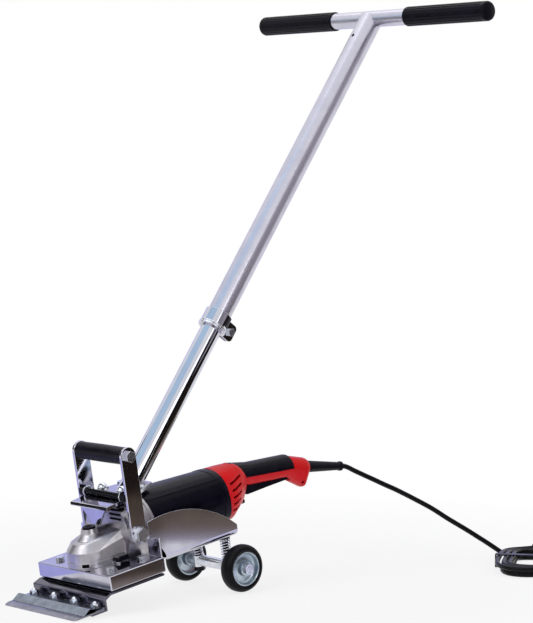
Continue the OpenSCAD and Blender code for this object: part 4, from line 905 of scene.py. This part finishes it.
@dataclass
class Grinder(Assembly):
    """Gear case, motor, rear handle with its switch, and the hidden drive."""

    casting_round: Rounding = Rounding(1.6, 3)
    fitting_round: Rounding = Rounding(0.8, 3)
    button_round: Rounding = Rounding(0.9, 3)
    trigger_round: Rounding = Rounding(1.2, 3)
    shell_round: Rounding = Rounding(0.8, 3, 40.0)
    overmould_round: Rounding = Rounding(0.6, 3, 40.0)
    boot_round: Rounding = Rounding(0.9, 3, 25.0)
    vent_low: float = 50.0
    vent_pitch: float = 6.0
    vent_h: float = 3.0
    vent_in: float = 9.0
    vent_out: float = 33.0
    vent_y: float = 64.5
    vent_deep: float = 5.0
    vent_loose_w: float = 0.4
    vent_loose_h: float = 0.3
    vent_round: Rounding = Rounding(0.3, 2, 25.0)
    vents: int = 4
    motor_z: float = 31.0
    flange_y: float = 107.0
    slant_y: float = 240.0
    slant: float = 4.0
    case_r: float = 44.0
    motor_r: float = 38.0
    skin_near: float = 0.1
    square_power: float = 2.4
    square_share: float = 0.975
    band_l: float = 11.0
    band_up: float = 0.6
    ridge_at: float = 47.0
    ridge_half: float = 1.1
    ridge_reach: float = 1.65
    ridge_up: float = 0.5
    notch_w: float = 9.0
    notch_h: float = 4.5
    notch_deep: float = 3.0
    notch_loose: float = 0.4
    notch_round: Rounding = Rounding(0.4, 2, 25.0)
    notch_angle: float = 40.0
    notch_in: float = 27.2
    notch_y: float = 29.3
    cap_h: float = 8.0
    shade_sheet_size: Triple = (3.0, 28.0, 49.5)
    shade_sheet_at: Triple = (0.0, 258.0, 35.25)

    def build(self) -> list[Piece]:
        """Dresses the grinder, and puts painted shade in its vents and in its cap's notch.

        Returns:
            The pieces.
        """
        made = [
            self.soften("gear_case", CAST, self.casting_round),
            self.soften("bearing_cap", CAST, self.fitting_round),
            self.soften("guard_lever", BLACK, self.fitting_round),
            self.soften("spindle_button", BLACK, self.button_round),
            self.soften("motor_housing", BLACK, self.fitting_round, self.square_off),
            self.soften("handle_left", RED, self.shell_round),
            self.soften("handle_right", RED, self.shell_round),
            self.soften("handle_overmould", RUBBER, self.overmould_round),
            self.soften("trigger", BLACK, self.trigger_round),
            self.soften("lock_button", BLACK, self.fitting_round),
            self.soften("cord_boot", RUBBER, self.boot_round),
            self.vent_backs(),
            self.notch_back(),
        ]
        for node, finish in (
            ("handle_screws", OXIDE_AND_PAINTED_DARK), ("switch_body", BLACK), ("stator", COPPER), ("armature", COPPER),
            ("motor_shaft", GROUND), ("commutator", COPPER), ("fan", BLACK), ("carbon_brushes", IRON),
            ("ball_bearings", GROUND), ("crown_gear", GROUND), ("spindle", GROUND), ("eccentric", GROUND),
            ("eccentric_bearing", GROUND),
        ):
            self.coat(node, finish)
        return made

    def square_off(self, bm: BMesh) -> None:
        """Squares the motor housing's round section a little, with two ridges and a raised rear band.

        Args:
            bm: The copy of the housing, in metres.
        """
        head = STANCE.matrix(Place.HEAD)
        bm.transform(head.inverted())
        middle = Vector((0, self.slant_y, self.motor_z))
        square = Matrix.Rotation(math.radians(self.slant), 3, "X") @ Vector((0, 1, 0))
        for back in (self.band_l, self.band_l - self.band_up):
            self.cut(bm, middle - square * back, square)
        for side in Side:
            for aside in (-2, -1, 1, 2):
                angle = math.radians(90 + side.value * (90 - self.ridge_at) + aside * self.ridge_half)
                self.cut(bm, middle, Vector((-math.sin(angle), 0, math.cos(angle))))
        power = self.square_power
        for v in bm.verts:
            x, z = v.co.x, v.co.z - self.motor_z
            reach = math.hypot(x, z)
            share = (v.co.y - self.flange_y) / (self.slant_y - self.flange_y)
            if abs(reach - self.case_r - (self.motor_r - self.case_r) * share) > self.skin_near:
                continue
            roundness = (abs(x / reach) ** power + abs(z / reach) ** power) ** (1 / power)
            grown = self.square_share * reach / roundness
            if (v.co - middle).dot(square) > -self.band_l + self.band_up / 2:
                grown += self.band_up
            off_ridge = math.degrees(math.atan2(z, abs(x))) - self.ridge_at
            if abs(off_ridge) < self.ridge_reach:
                grown += self.ridge_up
            v.co.x, v.co.z = x * grown / reach, self.motor_z + z * grown / reach
        bm.transform(head)

    @staticmethod
    def cut(bm: BMesh, through: Vector, square: Vector) -> None:
        """Cuts every face that a plane crosses, and keeps both sides."""
        bmesh.ops.bisect_plane(bm, geom=bm.verts[:] + bm.edges[:] + bm.faces[:], dist=WELD, plane_co=through,
                               plane_no=square)

    def notch_back(self) -> Piece:
        """Painted shade: black back deep in the notch of the bearing cap, where only shade falls.

        Returns:
            The piece.
        """
        bm = bmesh.new()
        size = (self.notch_w - self.notch_loose, self.notch_deep, self.notch_h - self.notch_loose)
        self.box(bm, size, (0, -self.notch_in + self.notch_deep / 2, self.cap_h / 2))
        self.round_edges(bm, self.notch_round)
        bmesh.ops.rotate(bm, verts=bm.verts, cent=(0, 0, 0),
                         matrix=Matrix.Rotation(math.radians(self.notch_angle), 3, "Z"))
        bmesh.ops.translate(bm, verts=bm.verts, vec=(0, self.notch_y, 0))
        return self.settle("notch_back", bm, PAINTED_SHADE_BLACK, "frame")

    def vent_backs(self) -> Piece:
        """Painted shade: black backs deep in the gear case's louvres, and a black sheet between the rear
        cover's vents, where only shade falls.

        Returns:
            The piece.
        """
        bm = bmesh.new()
        wide, high = self.vent_out - self.vent_in - self.vent_loose_w, self.vent_h - self.vent_loose_h
        for row in range(self.vents):
            for side in Side:
                self.box(bm, (wide, self.vent_deep, high), (
                    side.value * (self.vent_in + self.vent_out) / 2, self.vent_y + self.vent_deep / 2,
                    self.vent_low + row * self.vent_pitch + self.vent_h / 2))
        self.box(bm, self.shade_sheet_size, self.shade_sheet_at)
        self.round_edges(bm, self.vent_round)
        return self.settle("vent_backs", bm, PAINTED_SHADE_BLACK, "frame")


# Post and T handle

@dataclass
class Post(Assembly):
    """Saddle, telescopic post, clamp and T handle with ribbed grips.

    The tip of a grip is given as distances back from its end and down from its radius, and the clamp's lip as
    distances down from its crest and up from the clamp's lower face.
    """

    saddle_round: Rounding = Rounding(0.3, 3, 25.0, clamp=False)
    bolt_round: Rounding = Rounding(0.5)
    tube_round: Rounding = Rounding(0.3)
    upper_round: Rounding = Rounding(0.4)
    collar_round: Rounding = Rounding(0.6, 3)
    dark_reflection_share: float = 0.5
    tee_at: float = 753.0
    tee_half: float = 224.0
    grip_l: float = 152.0
    grip_r: float = 13.5
    grip_tip: tuple[Pair, ...] = ((4.0, 0.0), (2.2, 0.7), (0.9, 2.0), (0.0, 4.4))
    mouth_round: float = 0.9
    ribs: int = 20
    rib_steps: int = 6
    rib_share: float = 0.62
    rib_nudge_share: float = 0.001
    rib_deep: float = 0.7
    rib_crease: float = 30.0
    plain_end: float = 9.0
    plain_shares: Pair = (0.4, 0.5)
    rib_end_share: float = 0.9
    clamp_at: float = 240.0
    clamp_r: float = 18.6
    clamp_gap: float = 34.0
    lip_up: float = 0.8
    lip_in: float = 0.4
    lip: tuple[Pair, ...] = (
        (0.4, 0.1), (0.0, 0.6), (0.0, 1.9), (0.5, 2.5), (0.5, 3.0), (0.0, 3.6), (0.0, 4.9), (0.4, 5.4))
    lip_steps: int = 72
    lip_crease: float = 50.0
    strip_low: float = 8.0
    strip_high: float = 23.0
    strip_in: float = 0.2
    strip_out: float = 0.15
    strip_from: float = 6.0
    strip_turn: float = 34.0
    strip_steps: int = 12

    def build(self) -> list[Piece]:
        """Dresses the saddle, tubes and clamp, and models the T grips.

        Returns:
            The pieces.
        """
        return [
            self.saddle(),
            self.soften("saddle_bolts", ZINC, self.bolt_round),
            self.soften("lower_tube", TUBE_CHROME, self.tube_round),
            self.soften("upper_tube", SATIN_TUBE, self.upper_round),
            self.soften("clamp_collar", TUBE_CHROME, self.collar_round),
            self.soften("clamp_bolt", ZINC, self.bolt_round),
            self.soften("tee_bar", SATIN_TUBE, self.tube_round),
            self.clamp_lip(),
            self.clamp_strip(),
            self.grips(),
        ]

    def saddle(self) -> Piece:
        """Plated saddle whose front edge is painted black as a painted dark reflection.

        Returns:
            The piece.
        """
        piece = self.soften("saddle_plate", CHROME, self.saddle_round)
        piece.data.materials.append(OXIDE_AND_PAINTED_DARK.make())
        place = STANCE.matrix(Place.SADDLE)
        ahead = (place.to_3x3() @ Vector((0, -1, 0))).normalized()
        # Faces above the flange that face ahead take the painted dark reflection.
        for face in piece.data.polygons:
            above_flange = (place.inverted() @ face.center).z > 0
            if above_flange and face.normal.dot(ahead) > self.dark_reflection_share:
                face.material_index = 1
        return piece

    def band(self, profile: Sequence[Pair], start: float, turn: float, steps: int) -> BMesh:
        """Spins a closed profile part of the way round the post.

        Args:
            profile: Points as radius and height above the clamp's lower face.
            start: Where the band starts, in degrees from +X.
            turn: How far it goes, in degrees.
            steps: Steps of the turn.

        Returns:
            A new bmesh.
        """
        bm = bmesh.new()
        verts = [bm.verts.new((r, 0, self.clamp_at + z)) for r, z in profile]
        face = bm.faces.new(verts)
        bmesh.ops.rotate(bm, verts=verts, cent=(0, 0, 0), matrix=Matrix.Rotation(math.radians(start), 3, "Z"))
        bmesh.ops.spin(bm, geom=[face], cent=(0, 0, 0), axis=(0, 0, 1), angle=math.radians(turn), steps=steps,
                       use_merge=False)
        bmesh.ops.recalc_face_normals(bm, faces=bm.faces)
        return bm

    def clamp_lip(self) -> Piece:
        """Two turned beads round the clamp's lower end, open at its ears.

        Returns:
            The piece.
        """
        low, crest = self.clamp_r - self.lip_in, self.clamp_r + self.lip_up
        beads = [(crest - down, up) for down, up in self.lip]
        profile = [(low, beads[0][1]), *beads, (low, beads[-1][1])]
        bm = self.band(profile, 90 + self.clamp_gap / 2, 360 - self.clamp_gap, self.lip_steps)
        return self.settle("clamp_lip", bm, TUBE_CHROME, "post", (), Place.POST, self.lip_crease)

    def clamp_strip(self) -> Piece:
        """Black strip on the clamp beside its ears.

        Returns:
            The piece.
        """
        inner, outer = self.clamp_r - self.strip_in, self.clamp_r + self.strip_out
        low, high = self.strip_low, self.strip_high
        profile = [(inner, low), (outer, low), (outer, high), (inner, high)]
        bm = self.band(profile, self.strip_from, self.strip_turn, self.strip_steps)
        return self.settle("clamp_strip", bm, BLACK, "post", place=Place.POST)

    def grips(self) -> Piece:
        """Two rubber sleeves with ribs along them, a plain collar at each end and a rounded closed end.

        Returns:
            The piece.
        """
        end, start, r = self.tee_half, self.tee_half - self.grip_l, self.grip_r
        collar, first_rib = (start + self.plain_end * share for share in self.plain_shares)
        stations: list[tuple[float, float, bool]] = [
            (start, r - self.mouth_round, False), (start + self.mouth_round, r, False), (collar, r, False),
            (first_rib, r, True), (end - self.plain_end, r, True),
            (end - self.plain_end * self.rib_end_share, r, False),
            *((end - back, r - down, False) for back, down in self.grip_tip),
        ]
        bm = bmesh.new()
        for side in Side:
            part = self.sleeve(stations)
            if side is Side.LEFT:
                bmesh.ops.scale(part, vec=(-1, 1, 1), verts=part.verts)
                bmesh.ops.recalc_face_normals(part, faces=part.faces)
            self.join(bm, part)
        bmesh.ops.translate(bm, verts=bm.verts, vec=(0, 0, self.tee_at))
        return self.settle("tee_grips_ribbed", bm, RUBBER, "post", ["tee_grips"], Place.POST, self.rib_crease)

    def sleeve(self, stations: Sequence[tuple[float, float, bool]]) -> BMesh:
        """Draws one sleeve out along X, station by station.

        Args:
            stations: Place along X, radius, and whether the ribs stand there.

        Returns:
            A new bmesh.
        """
        bm = bmesh.new()
        mouth_x, mouth_r, _ = stations[0]
        mouth = Matrix.Translation((mouth_x, 0, 0)) @ Matrix.Rotation(math.pi / 2, 4, "Y")
        bmesh.ops.create_circle(bm, cap_ends=True, segments=self.ribs * self.rib_steps, radius=mouth_r,
                                matrix=mouth)
        face = next(iter(bm.faces))
        for x, r, ribbed in stations[1:]:
            grown = bmesh.ops.extrude_face_region(bm, geom=[face])["geom"]
            verts = [g for g in grown if isinstance(g, bmesh.types.BMVert)]
            face = next(g for g in grown if isinstance(g, bmesh.types.BMFace))
            for v in verts:
                turn = math.degrees(math.atan2(v.co.z, v.co.y)) % 360
                groove = ribbed and (turn * self.ribs / 360 + self.rib_nudge_share) % 1 > self.rib_share
                reach = r - (self.rib_deep if groove else 0.0)
                flat = Vector((0, v.co.y, v.co.z)).normalized() * reach
                v.co = (x, flat.y, flat.z)
        bmesh.ops.recalc_face_normals(bm, faces=bm.faces)
        return bm


# Front handle

@dataclass
class FrontHandle(Assembly):
    """Two flat bars with a rubber grip between them and a tie rod above the saddle.

    The grip's rolled end is given as distances in from its end and down from its radius.
    """

    bar_round: Rounding = Rounding(0.8, 3, clamp=False)
    rod_round: Rounding = Rounding(0.6)
    side_bolt_round: Rounding = Rounding(0.7)
    tie_round: Rounding = Rounding(0.5)
    half: float = 47.0
    grip_gap: float = 0.1
    grip_r: float = 11.5
    grip_roll: tuple[Pair, ...] = ((0.0, 0.6), (2.2, 0.0), (5.0, 0.35))
    grip_round: Rounding = Rounding(0.5, 2, 35.0)
    grip_steps: int = 64
    belly_half: float = 18.0
    belly_drop: float = 0.1
    core_r: float = 7.1
    grip_y: float = 74.0
    grip_z: float = 133.0
    tie_r: float = 3.8
    tie_y: float = 67.0
    tie_z: float = 81.16
    washer_r: float = 7.4
    washer_t: float = 1.6
    washer_x: float = 36.9
    washer_round: Rounding = Rounding(0.3, 2, 25.0)
    washer_steps: int = 40

    def build(self) -> list[Piece]:
        """Dresses the bars, bolts and tie rod, and models the grip.

        Returns:
            The pieces.
        """
        return [
            self.soften("handle_bars", CHROME, self.bar_round),
            self.soften("grip_rod", ZINC, self.rod_round),
            self.soften("side_bolts", ZINC, self.side_bolt_round),
            self.soften("tie_rod", OXIDE_AND_PAINTED_DARK, self.tie_round),
            self.tie_washers(),
            self.grip(),
        ]

    def tie_washers(self) -> Piece:
        """Bright washers inside the tie rod's nuts.

        Returns:
            The piece.
        """
        bm = bmesh.new()
        face = self.washer_t / 2
        profile = self.both_ends([(-face, self.tie_r), (-face, self.washer_r)])
        for side in Side:
            washer = self.lathe(profile, self.washer_steps)
            self.round_edges(washer, self.washer_round)
            place = (side.value * self.washer_x, self.tie_y, self.tie_z)
            bmesh.ops.translate(washer, verts=washer.verts, vec=place)
            self.join(bm, washer)
        return self.settle("tie_washers", bm, ZINC, "frame")

    def grip(self) -> Piece:
        """Rubber sleeve, a little fuller in the middle, with rolled ends.

        Returns:
            The piece.
        """
        r, end = self.grip_r, self.half - self.grip_gap
        half = [(-end, self.core_r), *((-end + along, r - down) for along, down in self.grip_roll),
                (-self.belly_half, r - self.belly_drop)]
        bm = self.lathe(self.both_ends(half, [(0, r)]), self.grip_steps)
        self.round_edges(bm, self.grip_round)
        bmesh.ops.translate(bm, verts=bm.verts, vec=(0, self.grip_y, self.grip_z))
        return self.settle("front_grip_sleeve", bm, RUBBER, "frame", ["front_grip"])


# Chassis

@dataclass
class Chassis(Assembly):
    """Cradle, sprung axle and the two wheels.

    Outlines of the wheels are pairs of distances: in from the tyre's wall or out from the wheel's middle,
    and up or down from the radius that their stretch follows.
    """

    cradle_round: Rounding = Rounding(0.35, 2, 25.0, clamp=False)
    bolt_round: Rounding = Rounding(0.5)
    axle_round: Rounding = Rounding(0.6)
    nut_round: Rounding = Rounding(0.7)
    track: float = 114.0
    axle_y: float = 227.0
    axle_z: float = -57.797
    axle_r: float = 4.05
    wheel_r: float = 31.5
    wheel_crease: float = 30.0
    tyre_w: float = 19.0
    tyre_steps: int = 96
    tyre_bead: tuple[Pair, ...] = ((0.9, 0.0), (0.2, 1.2), (0.0, 2.2), (0.5, 2.7), (0.2, 3.2))
    tyre_shoulder: tuple[Pair, ...] = ((0.4, 4.0), (1.7, 2.0), (4.2, 0.7))
    crown_half: float = 3.0
    crown_drop: float = 0.1
    rim_r: float = 23.0
    rim_gap: float = 0.05
    rim_steps: int = 72
    rim_lip: tuple[Pair, ...] = ((1.2, 0.0), (0.5, 0.4), (0.3, 1.2), (0.8, 2.0), (3.2, 2.6))
    web_outer: tuple[Pair, ...] = ((3.4, 3.4), (1.8, 5.2))
    web_inner: tuple[Pair, ...] = ((1.5, 3.2), (2.6, 0.6))
    hub_r: float = 9.0
    hub_edge: tuple[Pair, ...] = ((0.2, 0.0), (-0.3, 0.8))
    hub_out: float = 0.5
    guide_dx: float = 60.0
    spring_r: float = 6.5
    spring_low: float = -50.297
    spring_top: float = -20.0
    spring_gap: float = 0.05
    coil_crease: float = 60.0
    coil_steps: int = 20
    wire_r: float = 0.8
    wire_sides: int = 10
    turns: int = 9
    dead_turns: float = 1.0
    dead_gap: float = 0.15
    travel: float = 10.0

    def build(self) -> list[Piece]:
        """Dresses the cradle and axle, and models the springs and wheels.

        Returns:
            The pieces.
        """
        made = [
            self.soften("cradle", CHROME, self.cradle_round),
            # The guide bolts' dark finish is painted shade in the gaps of the springs round them.
            self.soften("guide_bolts", OXIDE_AND_PAINTED_DARK, self.bolt_round),
            self.soften("axle_tube", ZINC, self.axle_round),
            self.soften("stub_axles", ZINC, self.bolt_round),
            self.soften("axle_nuts", ZINC, self.nut_round),
        ]
        for side in Side:
            made += [self.spring(side), self.tyre(side), self.rim(side)]
        return made

    def spring(self, side: Side) -> Piece:
        """Coil spring of round wire with a closed turn at each end.

        Args:
            side: Which of the two.

        Returns:
            The piece.
        """
        margin, dead = self.wire_r + self.spring_gap, self.dead_turns
        low, high = self.spring_low + margin, self.spring_top - margin
        flat = 2 * self.wire_r + self.dead_gap
        live = self.turns - 2 * dead
        rise = (high - low - 2 * dead * flat) / live
        bm = bmesh.new()
        wire_end = Matrix.Translation((self.spring_r, 0, low)) @ Matrix.Rotation(math.pi / 2, 4, "X")
        ring = bmesh.ops.create_circle(bm, cap_ends=False, segments=self.wire_sides, radius=self.wire_r,
                                       matrix=wire_end)["verts"]
        geom: list[Any] = list(ring) + list({e for v in ring for e in v.link_edges})
        for count, lift in ((dead, flat), (live, rise), (dead, flat)):
            geom = bmesh.ops.spin(bm, geom=geom, cent=(0, 0, 0), axis=(0, 0, 1), angle=math.tau * count,
                                  dvec=(0, 0, lift / self.coil_steps), steps=round(count * self.coil_steps),
                                  use_merge=False)["geom_last"]
        bmesh.ops.remove_doubles(bm, verts=bm.verts, dist=WELD)
        bmesh.ops.holes_fill(bm, edges=[e for e in bm.edges if e.is_boundary], sides=0)
        bmesh.ops.recalc_face_normals(bm, faces=bm.faces)
        bmesh.ops.translate(bm, verts=bm.verts, vec=(side.value * self.guide_dx / 2, self.axle_y, 0))
        node = f"spring_{side.name.lower()}"
        piece = self.settle(f"{node}_coil", bm, ZINC, "frame", [node], smooth_angle=self.coil_crease)
        head = STANCE.matrix(Place.HEAD)
        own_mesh(piece)
        return piece

    def wheel_piece(self, kind: str, made: str, side: Side, profile: Sequence[Pair], steps: int,
                    finish: Finish) -> Piece:
        """Spins a profile and puts it on its wheel.

        Args:
            kind: What it is, as the frame's node is called.
            made: How it is made, for the piece's name.
            side: Which wheel it is on.
            profile: Points as place along the axle and radius.
            steps: Steps of the full turn.
            finish: Its finish.

        Returns:
            The piece.
        """
        bm = self.lathe(profile, steps)
        if side is Side.LEFT:
            bmesh.ops.rotate(bm, verts=bm.verts, cent=(0, 0, 0), matrix=Matrix.Rotation(math.pi, 3, "Z"))
        bmesh.ops.translate(bm, verts=bm.verts, vec=(side.value * self.track / 2, self.axle_y, self.axle_z))
        which = side.name.lower()
        node, crease = f"{kind}_{which}", self.wheel_crease
        return self.settle(f"{node}_{made}", bm, finish, f"wheel_{which}", [node], smooth_angle=crease)

    def tyre(self, side: Side) -> Piece:
        """Solid rubber tyre with a rounded crown and a moulded bead line on each wall.

        Args:
            side: Which wheel it is on.

        Returns:
            The piece.
        """
        w, r, rim = self.tyre_w / 2, self.wheel_r, self.rim_r
        half = [*((-w + along, rim + up) for along, up in self.tyre_bead),
                *((-w + along, r - down) for along, down in self.tyre_shoulder),
                (-self.crown_half, r - self.crown_drop)]
        profile = self.both_ends(half, [(0, r)])
        return self.wheel_piece("tyre", "moulded", side, profile, self.tyre_steps, TYRE)

    def rim(self, side: Side) -> Piece:
        """Zinc plated rim with a rolled lip, a dished web and a turned hub.

        Args:
            side: Which wheel it is on.

        Returns:
            The piece.
        """
        w, r, hub = self.tyre_w / 2, self.rim_r - self.rim_gap, self.hub_r
        half = [*((-w + along, r - down) for along, down in self.rim_lip),
                *((-out, r - down) for out, down in self.web_outer),
                *((-out, hub + up) for out, up in self.web_inner),
                *((-w + along, hub - down) for along, down in self.hub_edge),
                (-w - self.hub_out, self.axle_r)]
        return self.wheel_piece("rim", "pressed", side, self.both_ends(half), self.rim_steps, PRESSED_ZINC)


# Main

def main() -> None:
    """Builds the studio and the sub-assemblies in order."""
    logging.basicConfig(level=logging.INFO, format="%(name)s: %(message)s")
    Studio().build()
    for assembly in (Lead(), SlideHead(), Grinder(), Post(), FrontHandle(), Chassis()):
        pieces = assembly.build()
        LOG.info("%s: %d pieces", type(assembly).__name__, len(pieces))
    bpy.context.view_layer.update()


if __name__ == "__main__":
    main()
